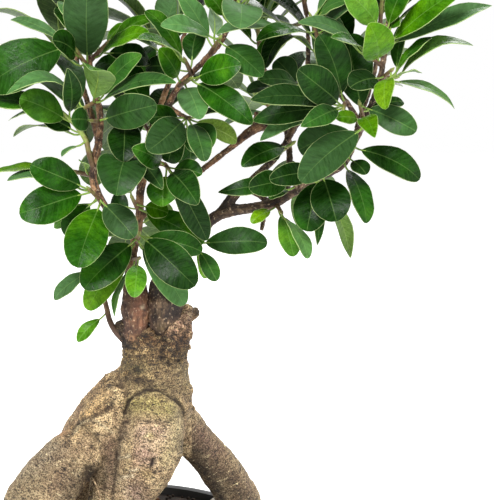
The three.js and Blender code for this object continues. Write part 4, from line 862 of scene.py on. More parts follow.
# Which points the camera sees, roughly: those that face it, with nothing much nearer in front.
# Cells of the picture, in millimetres, hold the nearest point, and a neighbour's may be a step nearer.
def facingViewer(points, normals, cell=3.0, behind=9.0, step=4.0):
    away = eye - points
    distance = np.linalg.norm(away, axis=1)
    turned = np.einsum("ij,ij->i", normals, away / distance[:, None])
    spots = np.round(pictured(points) / cell).astype(int)
    spots -= spots.min(axis=0) - 1
    nearest = np.full(spots.max(axis=0) + 2, 1e9)
    np.minimum.at(nearest, (spots[:, 0], spots[:, 1]), distance)
    around = nearest.copy()
    for dx, dz in ((1, 0), (-1, 0), (0, 1), (0, -1)):
        around = np.minimum(around, np.roll(nearest, (dx, dz), axis=(0, 1)) + step)
    hidden = distance > around[spots[:, 0], spots[:, 1]] + behind
    return np.clip(turned * 3 + 0.6, 0, 1) * ~hidden

def strokeShare(width, line, spots):  # 1 on the stroke, falling to 0 past its width
    line = np.array(line, float)
    least = np.linalg.norm(spots - line[0], axis=1)
    for a, b in zip(line[:-1], line[1:]):
        ab = b - a
        t = np.clip((spots - a) @ ab / (ab @ ab), 0, 1)
        least = np.minimum(least, np.linalg.norm(spots - a - t[:, None] * ab, axis=1))
    return np.exp(-(least / width) ** 2)

def carve(thing, strokes):  # each stroke is (depth, width, points), a hollow being positive
    points = pointsOf(thing)
    normals = normalsOf(thing.data)
    facing = facingViewer(points, normals)
    spots = pictured(points)
    depth = sum(deep * strokeShare(width, line, spots) for deep, width, *line in strokes)
    setPoints(thing, points - normals * (depth * facing)[:, None])

bareBark = "#8b7653"  # under the first stroke

def paint(thing, strokes):  # each stroke is (colour, share, width, points), later ones on top
    points = pointsOf(thing)
    facing = facingViewer(points, normalsOf(thing.data))
    spots = pictured(points)
    colour = np.tile(linear(bareBark)[:3], (len(points), 1))
    covered = np.zeros(len(points))
    for tint, most, width, *line in strokes:
        share = most * strokeShare(width, line, spots) * facing
        covered = 1 - (1 - covered) * (1 - share)
        mixed = share / np.maximum(covered, 1e-6)
        colour += (np.array(linear(tint)[:3]) - colour) * mixed[:, None]
    keep(thing.data, "patchColour", "FLOAT_VECTOR", colour)
    keep(thing.data, "patchShare", "FLOAT", covered)

# Wrinkles round each root and branch: noise stretched across it.
def wrinkle(thing, places, shape):
    scaled = places / [shape["wrinkleAcross"], shape["wrinkleAcross"], shape["wrinkleStep"]]
    rise = np.array([noise.noise(Vector(place)) for place in scaled]) * shape["wrinkleHeight"]
    setPoints(thing, pointsOf(thing) + normalsOf(thing.data) * rise[:, None])

def growWood(name, branches, shape, bump):  # each branch is (stations, seed of its swelling)
    tubes, routes = [], []
    for stations, seed in branches:
        points, radii = stationsOf(stations)
        rings = shape["rings"] * (len(points) - 1)
        tubes.append(pathTube("branchPart", points, radii, shape["sides"], rings, bump(seed)))
        routes.append((points, radii))
    wood = join(name, tubes)
    fuse(wood, shape["voxel"], shape["smooth"])
    return wood, routes

def coverWood(wood, places, shape, strokes, material):  # what its material reads, and the material
    keep(wood.data, "barkPlace", "FLOAT_VECTOR", places)
    keep(wood.data, "crevice", "FLOAT", hollows(wood.data, shape["hollowRounds"]))
    paint(wood, strokes)
    wood.data.materials.append(material)

# Rootstock: neck, roots and old graft stubs, grown together under one tan skin

stockShape = {
    "voxel": 0.98, "smooth": 2,  # mm, rounds
    "sides": 28, "rings": 8,  # of each tube, the rings for each station
    "lump": 15, "lumpHeight": 2.0,  # broad unevenness of the swollen roots
    "wrinkleAcross": 7, "wrinkleStep": 2.2, "wrinkleHeight": 0.35,
    "grain": 2.2, "grainHeight": 0.55,  # corky skin
    "crust": 3, "crustHeight": 4.2, "crustMiddle": 0.45,  # knobbly old bark of the neck and shoulder
    "hollowRounds": 10,  # how widely a point is compared with its surroundings
}

stockWeb = [  # the wood that closes the crack between the centre root and the lobe on its left
    [(-7, 167, -11, 6), (-9, 158, -15, 6.5), (-12, 148, -20, 7), (-16, 134, -23, 7.5), (-18, 118, -24, 7),
     (-18, 100, -24, 5.5), (-18, 80, -24, 4)],
    [(13, 172, -2, 13), (18, 192, -8, 11.5), (20, 197, -9, 10)],  # and the foot of the flap
]

# The stub on the right, split by the graft to a flap that is thinner than the solid's
stockFlap = [(19, 192, -9, 11), (23, 202, -11, 8.6), (26.5, 211.5, -9, 5.2), (30.5, 219, -5, 2.4)]

stockCarving = [
    (1.7, 0.9, (-9.5, 152), (-7, 160), (-3, 163), (3, 166), (10, 166.5), (16, 164), (22, 160), (26, 156),
     (28, 150), (28.5, 143), (27.5, 132)),  # arch over the centre root
    (0.35, 1.2, (-9.5, 152), (-11.5, 143), (-14, 132.7), (-15.5, 119.4), (-17, 107.9), (-18, 98)),
    (0.45, 1.2, (-10, 146), (-3, 147), (3, 147), (9, 146), (14, 145.5), (20, 148), (24, 152)),
    (-0.8, 3, (-21, 172), (-26, 162), (-32, 154), (-41, 149)),  # ridge of the left shoulder
    (0.6, 1.3, (-18, 157), (-23, 152), (-27, 152), (-31, 148), (-38, 146), (-43, 140)),
    (0.7, 1, (-46, 137), (-41, 140), (-36, 145), (-29, 147), (-24, 144)),
    (2.5, 3, (-31, 117), (-34, 102)),  # dark hollow at the end of the front left root
    (1.8, 1, (5.5, 226), (5.5, 208), (10, 201), (13, 200)),  # seam between the grafts
    (1, 1, (12, 200.5), (15, 203.5), (19, 209), (23, 213.5), (27.5, 217)),  # edge of the flap
    (0.6, 0.7, (23, 198), (25, 206), (27, 214)), (0.6, 0.7, (27, 196), (30, 205), (31, 212)),
    (0.5, 0.6, (19, 200), (21, 204)),
    (1.5, 1.1, (6.5, 119), (8, 123)), (1.2, 1.3, (9, 115)),
    (-1.6, 2.2, (-8, 195)), (-1.6, 1.6, (-8.3, 203)), (-1.8, 4, (-2, 179)), (1.6, 1.7, (-2, 179)),
    (-1.2, 2.6, (24, 184)), (1.8, 1.2, (24, 184)), (1.5, 1.3, (17, 183)), (1.2, 1, (13, 186)),
    (-1.2, 1.8, (-9, 176)), (1.6, 1.6, (-20, 172)), (-1.6, 3, (31, 166)),
]

stockCrust = [  # where the bark is knobbly
    (1, 9, (-10, 198), (28, 196)), (0.7, 7, (-8, 186), (26, 184)), (0.7, 5, (-20, 174), (-8, 176), (6, 172)),
    (0.6, 5, (-24, 168), (-36, 158)), (0.6, 4, (-18, 158), (-30, 152), (-42, 144)),
    (0.6, 4, (30, 168), (31, 156)), (0.8, 5, (36, 215)), (0.4, 6, (28, 206)),
]

stockPaint = [
    ("#8d7c45", 0.5, 15, (-6, 184), (26, 182)), ("#7c6d42", 0.5, 6, (-6, 170), (28, 168)),
    ("#6d4c2e", 0.85, 8, (-4, 199), (14, 197), (26, 195)), ("#665136", 0.6, 4, (14, 190), (26, 190)),
    # d0bb85: a painted highlight along the neck's right edge
    ("#d0bb85", 0.55, 3.5, (29, 190), (30, 172)), ("#9c8d52", 0.5, 4, (-9, 188), (-10, 178)),
    ("#3b261a", 0.97, 6.5, (-14, 208), (-12, 198)), ("#b3917b", 0.9, 5, (21, 203), (28, 212), (30, 204)),
    ("#4f3f36", 0.95, 4, (35, 215)), ("#1f1510", 0.95, 2.6, (-8, 194.5)), ("#e6d8bd", 0.95, 2, (-8.3, 203)),
    ("#5f5c33", 0.8, 5, (-2, 179)), ("#332d1c", 0.8, 1.6, (-2, 179)),
    ("#5a4730", 0.7, 3, (-5, 174), (5, 169)), ("#33241a", 0.9, 1.8, (24, 184)),
    ("#33241a", 0.85, 1.7, (17, 183)), ("#33241a", 0.8, 1.4, (13, 186)),
    ("#e6d3a8", 0.8, 0.9, (10, 199.5), (20, 196.5)), ("#e6d3a8", 0.7, 0.8, (16, 193), (20, 191.5)),
    ("#ffdca0", 0.9, 9, (-29, 163), (-44, 146)), ("#bd8154", 0.75, 5, (-49, 141)),
    ("#241812", 0.95, 2.6, (-20, 173), (-19, 169)), ("#241812", 0.9, 2, (-18, 158), (-20, 155)),
    # 5a4028: painted shade in the crease of the left shoulder
    ("#5a4028", 0.8, 1.5, (-19, 156), (-27, 151), (-38, 146), (-45, 138)),
    ("#eadbb4", 0.9, 0.9, (-41, 140), (-36, 146), (-29, 148), (-23, 144), (-18, 140)),
    ("#b9a47c", 0.6, 7, (-30, 138)), ("#6b4c40", 0.7, 5, (-18, 134), (-20, 106)),
    # 1a120d: painted shadow in the hollow at the end of the front left root; #5b4a3c: painted shade on that
    #         root's lower right side
    ("#1a120d", 0.9, 4.5, (-31, 116), (-35, 98)), ("#5b4a3c", 0.6, 8, (-42, 112), (-48, 98)),
    # aa9c84: a painted highlight along the top of the front left root
    ("#7d6b53", 0.65, 14, (-52, 126), (-78, 96)), ("#aa9c84", 0.6, 8, (-56, 130), (-72, 116)),
    ("#b3a27c", 0.5, 9, (-68, 108), (-80, 98)), ("#b3a768", 0.9, 7.5, (-3, 157), (8, 157), (18, 154)),
    # 5d4c2f: painted shade in the crease across the centre root
    ("#5d4c2f", 0.6, 1.4, (-10, 146), (-3, 147.5), (3, 147), (9, 146.5), (14, 146), (20, 148.5), (24, 152)),
    ("#cbae98", 0.75, 6, (-5, 140), (12, 140)), ("#ba9a8a", 0.75, 7.5, (2, 128), (6, 124)),
    # e8d5a2: a painted highlight along the centre root's right edge
    ("#cfbd78", 0.75, 2.2, (6, 138)), ("#e8d5a2", 0.8, 4.5, (24, 147), (22, 134), (15, 122)),
    # cdb988: a painted highlight along the centre root's left edge
    ("#cdb988", 0.5, 3, (-5, 144), (-7, 130), (-9, 116)),
    # 7f6650: painted shade in the groove left of the centre root
    ("#7f6650", 0.5, 1.7, (-12, 143), (-15, 125), (-17.5, 104)),
    ("#d0b77c", 0.7, 4.5, (4, 114)), ("#ae9184", 0.75, 8, (-4, 104), (-2, 98)),
    ("#2f2118", 0.95, 1.3, (6.5, 119), (8, 123)), ("#433122", 0.85, 1.4, (9, 115)),
    ("#fff2cf", 1, 1, (-13, 124), (-7, 125)), ("#fff2cf", 1, 1, (-12, 112), (-5, 113)),
    ("#fff2cf", 0.9, 0.8, (-7, 116), (-2, 117)), ("#f3e3b6", 0.9, 0.9, (2, 137), (5, 139)),
    # 54432b: painted shade in the crease of the arch over the centre root
    ("#54432b", 0.75, 1.1, (-7, 160), (-3, 163), (3, 166), (10, 166.5), (16, 164), (22, 160), (26, 156),
     (28, 150), (28.5, 143)),
    # 574531: the right root's darker brown, its own colour deepened as painted shade
    ("#574531", 0.85, 11, (36, 134), (60, 104), (70, 88)),
    # 241b13: painted shade along the right root's inner edge, in the valley by the centre root
    ("#241b13", 0.8, 4.5, (28, 131), (34, 122), (42, 113), (50, 98)),
    # 96855a: a painted highlight along the right root's upper edge
    ("#96855a", 0.5, 3, (34, 150), (50, 135), (66, 116)),
    ("#8b6d5c", 0.6, 6, (36, 142), (48, 128)),
]

def barkBump(seed):  # the same slow swelling as the solid's
    draw = seeded(seed)
    first, second, third = (2 * math.pi * draw() for _ in range(3))
    return lambda angle, t: (1 + 0.05 * math.sin(2 * angle + first + 3 * t)
                             + 0.04 * math.sin(3 * angle + second - 5 * t)
                             + 0.025 * math.sin(9 * t + third))

def makeRootstock():
    branches = [(neckStations, 1)]
    branches += [(root, i + 2) for i, root in enumerate(rootStations.values())]
    branches += [(stub, i + 20) for i, stub in enumerate([stockFlap, *stubStations[1:]])]
    branches += [(web, i + 30) for i, web in enumerate(stockWeb)]
    stock, routes = growWood("grownRootstock", branches, stockShape, barkBump)
    relief(stock, "broadLumps", stockShape["lump"], stockShape["lumpHeight"])
    carve(stock, stockCarving)
    places = along(pointsOf(stock), routes)
    wrinkle(stock, places, stockShape)
    spots = pictured(pointsOf(stock))
    crusty = sum(most * strokeShare(width, line, spots) for most, width, *line in stockCrust)
    weigh(stock, "crusty", crusty)
    keep(stock.data, "crustShare", "FLOAT", np.clip(crusty, 0, 1))
    relief(stock, "knobblyCrust", stockShape["crust"], stockShape["crustHeight"], 2, "crusty",
           stockShape["crustMiddle"])
    relief(stock, "corkyGrain", stockShape["grain"], stockShape["grainHeight"], 3)
    coverWood(stock, places, stockShape, stockPaint, rootBarkMaterial())
    print("rootstock triangles:", sum(len(face.vertices) - 2 for face in stock.data.polygons))
    finish(stock, "root_bark", "rootstock")
    return stock

# Grafted wood

scionShape = {
    "voxel": 0.72, "smooth": 1,
    "sides": 14, "rings": 7,
    "lump": 5.5, "lumpHeight": 1.6,
    "wrinkleAcross": 3, "wrinkleStep": 1.6, "wrinkleHeight": 0.3,
    "grain": 2, "grainHeight": 0.9,
    "thinAbove": 235, "thinning": 20, "leastRelief": 0.25,  # lumps and grain fade above this height
    "hollowRounds": 8,
}

scionPaint = [
    ("#3a2620", 0.7, 5, (-9, 220), (-9, 206)), ("#6d4632", 0.6, 5, (0, 222), (0, 208)),
    ("#b3a085", 0.9, 1.1, (1.2, 217.5)), ("#1d120d", 0.95, 1, (2.8, 215.6)),
    # 1a100c: painted shadow under the leaves beside the right scion
    ("#1a100c", 0.8, 5, (20, 220), (24, 214)), ("#4b3c20", 0.6, 3, (13, 205)),
]

def nodeBump(seed):  # old leaf scars ring a branch every few millimetres
    draw = seeded(seed)
    first, second = 2 * math.pi * draw(), 2 * math.pi * draw()
    return lambda angle, t: (1 + 0.05 * math.sin(2 * angle + first + 4 * t)
                             + 0.1 * max(0, math.sin(40 * t + second)) ** 6)

scions = {  # the bark's colours are dark, middle and pale
    "scion_left": {"name": "grownLeftScion", "wood": leftWood, "bark": "youngFicusBark",
                   "colours": ("#24160e", "#4c3322", "#7f5f42")},
    "scion_right": {"name": "grownRightScion", "wood": rightWood, "bark": "olderFicusBark",
                    "colours": ("#170e09", "#35251a", "#64503b")},
}

def makeScion(node):
    habit = scions[node]
    branches = [(branch, i + 40) for i, branch in enumerate(habit["wood"])]
    scion, routes = growWood(habit["name"], branches, scionShape, nodeBump)
    below = scionShape["thinAbove"] - pointsOf(scion)[:, 2]
    weigh(scion, "thick", np.clip(below / scionShape["thinning"], scionShape["leastRelief"], 1))
    relief(scion, "branchLumps", scionShape["lump"], scionShape["lumpHeight"], 1, "thick")
    places = along(pointsOf(scion), routes)
    wrinkle(scion, places, scionShape)
    relief(scion, "crackedBark", scionShape["grain"], scionShape["grainHeight"], 2, "thick")
    coverWood(scion, places, scionShape, scionPaint,
              brownBarkMaterial(habit["bark"], *habit["colours"]))
    finish(scion, "brown_bark", node)

# A dry hair root that hangs from the front left root
hairRoot = {
    "stations": [(-29, 110, -52, 0.5), (-27.5, 107, -56, 0.45), (-26, 103, -57, 0.4),
                 (-25, 98, -56, 0.4), (-25, 90, -54, 0.35)],
    "sides": 6, "rings": 20,
}

def makeHairRoot(material):
    hair = pathTube("dryHairRoot", *stationsOf(hairRoot["stations"]), hairRoot["sides"], hairRoot["rings"])
    hair.data.materials.append(material)
    finish(hair, "root_bark")

# Pot: injection-moulded plastic bowl with a rolled rim

potShape = {
    "wall": [(0, 0), (64, 0), (86, 20), (99, 38), (106, 56), (110, 57), (110, 64.5), (103, 65),
             (102.8, 56), (95.8, 39.2), (82.8, 22), (62.8, 4), (0, 4)],  # radius and height
    "sides": 120,
    "holes": 3, "holeRadius": 6, "holeRing": 34, "holeSides": 40,
    "drillLength": 16, "drillMiddle": 2,  # it stands out of the floor on both sides
    "bevel": 0.9, "bevelOver": 35, "creaseOver": 30,  # mm, degrees between two faces
}

def makePot():
    deselect()
    bpy.ops.mesh.primitive_plane_add(size=0.001)
    pot = bpy.context.object
    pot.name = "mouldedBowl"
    bpy.ops.object.mode_set(mode="EDIT")
    bpy.ops.mesh.select_all(action="SELECT")
    bpy.ops.mesh.merge(type="CENTER")
    at = potShape["wall"][0]
    for radius, height in potShape["wall"][1:]:
        step = ((radius - at[0]) / 1000, 0, (height - at[1]) / 1000)
        bpy.ops.mesh.extrude_region_move(TRANSFORM_OT_translate={"value": step})
        at = (radius, height)
    bpy.ops.mesh.select_all(action="SELECT")
    bpy.ops.mesh.spin(steps=potShape["sides"], angle=2 * math.pi, center=(0, 0, 0), axis=(0, 0, 1))
    bpy.ops.mesh.select_all(action="SELECT")
    bpy.ops.mesh.remove_doubles(threshold=0.00002)
    bpy.ops.mesh.normals_make_consistent(inside=False)
    bpy.ops.object.mode_set(mode="OBJECT")
    for k in range(potShape["holes"]):
        angle = 2 * math.pi * (k + 0.25) / potShape["holes"]
        ring = potShape["holeRing"]
        deselect()
        spot = (ring * math.cos(angle), ring * math.sin(angle), potShape["drillMiddle"])
        bpy.ops.mesh.primitive_cylinder_add(
            vertices=potShape["holeSides"], radius=potShape["holeRadius"] / 1000,
            depth=potShape["drillLength"] / 1000, location=metres(spot))
        drill = bpy.context.object
        useModifier(pot, "BOOLEAN", operation="DIFFERENCE", object=drill)
        bpy.data.objects.remove(drill)
    useModifier(pot, "BEVEL", width=potShape["bevel"] / 1000, segments=3, limit_method="ANGLE",
                angle_limit=math.radians(potShape["bevelOver"]))
    pot.data.materials.append(potMaterial())
    finish(pot, "pot", "pot")
    select(pot)
    bpy.ops.object.shade_smooth_by_angle(angle=math.radians(potShape["creaseOver"]))

# Soil: dark potting mix with crumbs and bark chips

soilShape = {
    "edge": 60, "crown": 64.5, "rim": 103,  # heights at the wall and in the middle, the wall's radius
    "radius": 102, "cells": 150,
    "sunk": 0.4,  # the bed lies lower by this, for the clods to rise from
    "firmEdge": 4,  # no clods at the wall
    "wall": [(95, 39.6), (82, 22.4), (62.2, 4.3)],  # radius and height, downwards
    "clods": 5.5, "clodHeight": 2.0, "clodMiddle": 0.55,
    "crumbs": {"count": 620, "sizes": (0.9, 2.3), "seed": 71}, "crumbForm": (1, 0.85, 0.7),
    "chips": {"count": 46, "sizes": (3.5, 8.5), "seed": 73}, "chipForm": (1, 0.5, 0.22),
    "strewnTo": 101, "strewnLift": 0.25, "strewnLean": 0.5,  # radius, share of the size, slope
}

def soilHeight(radius):
    rise = soilShape["crown"] - soilShape["edge"]
    return soilShape["edge"] + rise * np.cos(math.pi / 2 * np.clip(radius / soilShape["rim"], 0, 1) ** 2)

def makeCrumb(name, stretch, material):
    deselect()
    bpy.ops.mesh.primitive_ico_sphere_add(subdivisions=1, radius=1)
    crumb = bpy.context.object
    crumb.name = name
    draw = seeded(61)
    points = readPoints(crumb.data) * np.array(stretch)
    writePoints(crumb.data, points * np.array([[0.8 + 0.4 * draw()] for _ in points]))
    crumb.data.materials.append(material)
    return crumb

def scatter(blank, count, sizes, seed):  # strewn evenly over the soil, the small ones more often
    draw = seeded(seed)
    copies = []
    while len(copies) < count:
        radius = soilShape["strewnTo"] * math.sqrt(draw())
        turn, size = 2 * math.pi * draw(), sizes[0] + (sizes[1] - sizes[0]) * draw() ** 2
        if radius > soilShape["strewnTo"] - size:
            continue
        lean, spin = soilShape["strewnLean"] * (draw() - 0.5), 2 * math.pi * draw()
        copy = copyOf(blank)
        points = spun(readPoints(copy.data) * size, spin)
        points[:, 2] += lean * points[:, 0]
        middle = [radius * math.cos(turn), radius * math.sin(turn),
                  soilHeight(radius) + soilShape["strewnLift"] * size]
        setPoints(copy, points + middle)
        copies.append(copy)
    bpy.data.objects.remove(blank)
    return copies

def makeSoil():
    deselect()
    cells = soilShape["cells"]
    bpy.ops.mesh.primitive_grid_add(x_subdivisions=cells, y_subdivisions=cells, size=2)
    bed = bpy.context.object
    x, y, _ = readPoints(bed.data).T
    flat = np.stack([x * np.sqrt(1 - y * y / 2), y * np.sqrt(1 - x * x / 2)], axis=1) * soilShape["radius"]
    height = soilHeight(np.linalg.norm(flat, axis=1))
    setPoints(bed, np.column_stack([flat, height - soilShape["sunk"]]))
    weigh(bed, "loose", (soilShape["radius"] - np.linalg.norm(flat, axis=1)) / soilShape["firmEdge"])
    relief(bed, "clods", soilShape["clods"], soilShape["clodHeight"], 4, "loose",
           soilShape["clodMiddle"])
    bpy.ops.object.mode_set(mode="EDIT")
    bpy.ops.mesh.select_mode(type="EDGE")
    bpy.ops.mesh.select_all(action="DESELECT")
    bpy.ops.mesh.select_non_manifold()
    radius, level = soilShape["radius"], float(soilHeight(soilShape["radius"]))
    for nextRadius, nextLevel in soilShape["wall"]:
        bpy.ops.mesh.extrude_region_move(
            TRANSFORM_OT_translate={"value": (0, 0, (nextLevel - level) / 1000)})
        share = nextRadius / radius
        bpy.ops.transform.resize(value=(share, share, 0), center_override=(0, 0, nextLevel / 1000))
        radius, level = nextRadius, nextLevel
    bpy.ops.mesh.edge_face_add()
    bpy.ops.mesh.select_all(action="SELECT")
    bpy.ops.mesh.normals_make_consistent(inside=False)
    bpy.ops.mesh.select_mode(type="VERT")
    bpy.ops.object.mode_set(mode="OBJECT")
    bed.data.materials.append(soilMaterial())
    crumb = makeCrumb("crumb", soilShape["crumbForm"], bed.data.materials[0])
    crumbs = scatter(crumb, **soilShape["crumbs"])
    chips = scatter(makeCrumb("chip", soilShape["chipForm"], chipMaterial()), **soilShape["chips"])
    soil = join("pottingSoil", [bed, *crumbs, *chips])
    finish(soil, "soil", "soil")

# Pebbles: a few small water-worn stones

pebbleShape = {
    "stones": [(66, 73, 4.4), (14, 84, 4.2), (-30, -78, 4.6)],  # x, y, half the length
    "form": (1, 0.8, 0.62), "smaller": 0.93,  # the relief adds the rest
    "lump": 4.2, "lumpHeight": 0.9, "skin": 0.9, "skinHeight": 0.12,
    "lift": 0.3,
}

def makePebbles(material):
    form = pebbleShape["form"]
    for i, (x, y, size) in enumerate(pebbleShape["stones"]):
        deselect()
        bpy.ops.mesh.primitive_ico_sphere_add(subdivisions=4, radius=size * pebbleShape["smaller"] / 1000)
        stone = bpy.context.object
        stone.name = f"pebble{i + 1}Stone"
        writePoints(stone.data, readPoints(stone.data) * form)
        relief(stone, "stoneForm", pebbleShape["lump"] + i, pebbleShape["lumpHeight"])
        relief(stone, "stoneSkin", pebbleShape["skin"], pebbleShape["skinHeight"])
        turned = spun(pointsOf(stone), x)  # each turned its own way
        middle = soilHeight(math.hypot(x, y)) + form[2] * size + pebbleShape["lift"]
        setPoints(stone, turned + [x, y, middle])
        stone.data.materials.append(material)
        finish(stone, "pebble", f"pebble_{i + 1}")

# Where each leaf sits: the same rule as the solids', so that every leaf replaces its own solid

leafRule = {
    "petiole": 7, "petioleThick": 1.3, "inWood": 0.45, "thick": 0.75, "clearance": 0.9,
    "outline": [(0.33, 0.88), (0.79, 0.85)],  # share of the length, share of the half width
    "stemBase": 1.6, "stemTip": 1.1,
    "triesListed": 15, "triesSpiral": 8,
    "triesStep": 5,  # mm that a listed leaf's tip moves back and forth in depth until it is free
    "barSides": 5,
}

spiralRule = {  # leaves that the photograph does not show clearly: a value, or the least and the spread
    "heart": np.array([trunkLine + 52.0, 5.0, 315.0]),  # middle of the crown, which they grow away from
    "first": 0.25,  # share of the stem at the first leaf
    "step": 2.4, "stray": 0.9,  # radians from one leaf to the next
    "outward": 0.6, "upward": (0.15, 0.7), "rise": (-0.075, 0.25), "backward": 0.15,
    "length": (41, 11), "width": (0.46, 0.08), "bow": (0.05, 0.12), "tilt": 0.5,
    "looks": ["green", "dark", "dark", "green", "dark", "grey", "green", "fresh"],
}

def sheetOf(leaf, grow):  # middle surface of a leaf: points, facing, half thickness
    way = unit(leaf["tip"] - leaf["root"])
    face = leaf["face"]
    side = np.cross(way, face)
    base = leaf["root"] + way * leafRule["petiole"]
    length = np.linalg.norm(leaf["tip"] - base)
    bow = leaf["bow"]
    points, normals, halves = [], [], []
    stalk = leafRule["petioleThick"] / 2
    for distance in (-leafRule["petiole"], 0):
        for sign in (-1, 1):
            points.append(base + way * distance + side * (sign * (stalk + grow)))
            normals.append(face)
            halves.append(stalk + grow)
    for share, wide in leafRule["outline"]:
        normal = unit(face - way * (4 * bow * (1 - 2 * share)))
        for sign in (-1, 1):
            points.append(base + way * (share * length) + face * (4 * bow * length * share * (1 - share))
                          + side * (sign * (leaf["width"] / 2 * wide + grow)))
            normals.append(normal)
            halves.append(leafRule["thick"] / 2 + grow)
    points.append(base + way * (length + grow))
    normals.append(unit(face + way * (4 * bow)))
    halves.append(leafRule["thick"] / 2 + grow)
    return np.array(points), np.array(normals), np.array(halves)

def sheetPattern():
    rows = len(leafRule["outline"]) + 2
    right = [2 * i + 1 for i in range(rows)]
    left = [r - 1 for r in right]
    tip = right[-1] + 1
    faces = []
    for corner in left[:-1]:
        faces += [(corner, corner + 1, corner + 3), (corner, corner + 3, corner + 2)]
    faces.append((tip - 2, tip - 1, tip))
    return faces, right + [tip] + left[::-1]

sheetFaces, sheetRim = sheetPattern()

def shellOf(leaf, grow):
    points, normals, halves = sheetOf(leaf, grow)
    above = points + normals * halves[:, None]
    below = points - normals * halves[:, None]
    for i in (0, 2):
        below[i] = (below[i] + below[i + 1]) / 2

    def under(i):
        return len(points) + (i - i % 2 if i < 4 else i)

    faces = []
    for a, b, c in sheetFaces:
        faces += [(a, b, c), (under(a), under(c), under(b))]
    for i, a in enumerate(sheetRim):
        b = sheetRim[(i + 1) % len(sheetRim)]
        faces += [(a, under(a), under(b)), (a, under(b), b)]
    return np.concatenate([above, below]), [f for f in faces if len(set(f)) == 3]

def edgesOf(faces):
    found = {}
    for face in faces:
        for i in range(3):
            a, b = face[i], face[(i + 1) % 3]
            found.setdefault((min(a, b), max(a, b)), (a, b))
    return np.array(list(found.values()))

def surfaceOf(points, faces, edges=None):
    faces = np.array(faces)
    return {"points": points, "faces": faces, "edges": edgesOf(faces.tolist()) if edges is None else edges,
            "low": points.min(axis=0), "high": points.max(axis=0)}

def pierce(one, two):  # whether an edge of one goes through a triangle of two
    p, q = one["points"][one["edges"][:, 0]], one["points"][one["edges"][:, 1]]
    near = np.all((np.maximum(p, q) >= two["low"]) & (np.minimum(p, q) <= two["high"]), axis=1)
    p, q = p[near], q[near]
    if len(p) == 0:
        return False
    a, b, c = (two["points"][two["faces"][:, i]] for i in range(3))
    way = q - p
    ab, ac = b - a, c - a
    h = np.cross(way[:, None], ac[None])
    det = np.einsum("fj,efj->ef", ab, h)
    flat = np.abs(det) < 1e-9
    det = np.where(flat, 1, det)
    s = p[:, None] - a[None]
    u = np.einsum("efj,efj->ef", s, h) / det
    k = np.cross(s, ab[None])
    v = np.einsum("ej,efj->ef", way, k) / det
    t = np.einsum("fj,efj->ef", ac, k) / det
    return bool(np.any(~flat & (u >= 0) & (u <= 1) & (v >= 0) & (u + v <= 1) & (t >= 0) & (t <= 1)))

def crosses(one, two):
    if np.any(one["high"] < two["low"]) or np.any(one["low"] > two["high"]):
        return False
    return pierce(one, two) or pierce(two, one)

def keepOff(points, radii):  # a coarse tube round a branch or a stem, which leaves keep off
    stops = walk(points, [r + leafRule["clearance"] for r in radii], len(points) - 1)
    frames = ringFrames(stops)
    sides = leafRule["barSides"]
    sector = 2 * math.pi / sides
    full = math.sqrt(sector / math.sin(sector))
    corners, faces = [], []
    for (centre, _, radius), (across, other) in zip(stops, frames):
        for k in range(sides):
            r = radius * full
            corners.append(centre + across * (r * math.cos(k * sector)) + other * (r * math.sin(k * sector)))
    first = len(corners)
    corners += [stops[0][0], stops[-1][0]]
    end = (len(stops) - 1) * sides
    for k in range(sides):
        following = (k + 1) % sides
        for i in range(len(stops) - 1):
            a, b = i * sides, (i + 1) * sides
            faces += [(a + k, a + following, b + following), (a + k, b + following, b + k)]
        faces += [(first, following, k), (first + 1, end + k, end + following)]
    return surfaceOf(np.array(corners), faces)

def stemOf(shoot):
    points = [seen(*row) for row in shoot["stem"]]
    last = len(points) - 1
    radii = [leafRule["stemBase"] + (leafRule["stemTip"] - leafRule["stemBase"]) * i / last
             for i in range(last + 1)]
    return points, radii

def faceToward(root, tip, turn):  # the upper side to the viewer at turn 0, upwards at 90
    way = unit(tip - root)
    toEye = eye - root
    toEye = unit(toEye - way * (toEye @ way))
    up = np.cross(way, toEye)
    if up[2] < 0:
        up = -up
    angle = math.radians(turn)
    return toEye * math.cos(angle) + up * math.sin(angle)

def listedLeaf(stem, row, attempt):
    share, x, z, depth, width, turn, bow, look = row
    root = curvePoint(stem, share)
    bend = leafRule["triesStep"] * math.ceil(attempt / 2) * (-1 if attempt % 2 else 1)
    tip = seen(x, z, depth + bend)
    return {"root": root, "tip": tip, "face": faceToward(root, tip, turn), "width": width, "bow": bow,
            "look": look}

def spiralLeaf(shoot, stem, place, seed):
    draw = seeded(seed)
    rule = spiralRule

    def drawn(name, share=1):
        least, spread = rule[name]
        return least + spread * share * draw()

    count = shoot["spiral"]
    share = rule["first"] + (1 - rule["first"]) * place / (count - 1) if count > 1 else 1
    root = curvePoint(stem, share)
    up = unit(stem[-1] - stem[0])
    angle = place * rule["step"] + rule["stray"] * (draw() - 0.5) + seed
    out = unit(root - rule["heart"])
    across = unit(np.cross([0, 0, 1], up))
    other = np.cross(up, across)
    way = across * math.cos(angle) + other * math.sin(angle) + out * rule["outward"]
    way = way + up * drawn("upward", share)
    if "leaves" in shoot and way[1] < rule["backward"]:  # the front is for the listed leaves
        way[1] = rule["backward"] - way[1]
    way[2] += drawn("rise")
    way = unit(way)
    length = drawn("length")
    tip = root + way * (length + leafRule["petiole"])
    sky = np.array([rule["tilt"] * (draw() - 0.5), rule["tilt"] * (draw() - 0.5), 1])
    face = unit(sky - way * (sky @ way))
    width = length * drawn("width")
    return {"root": root, "tip": tip, "face": face, "width": width, "bow": drawn("bow"),
            "look": rule["looks"][seed % len(rule["looks"])]}

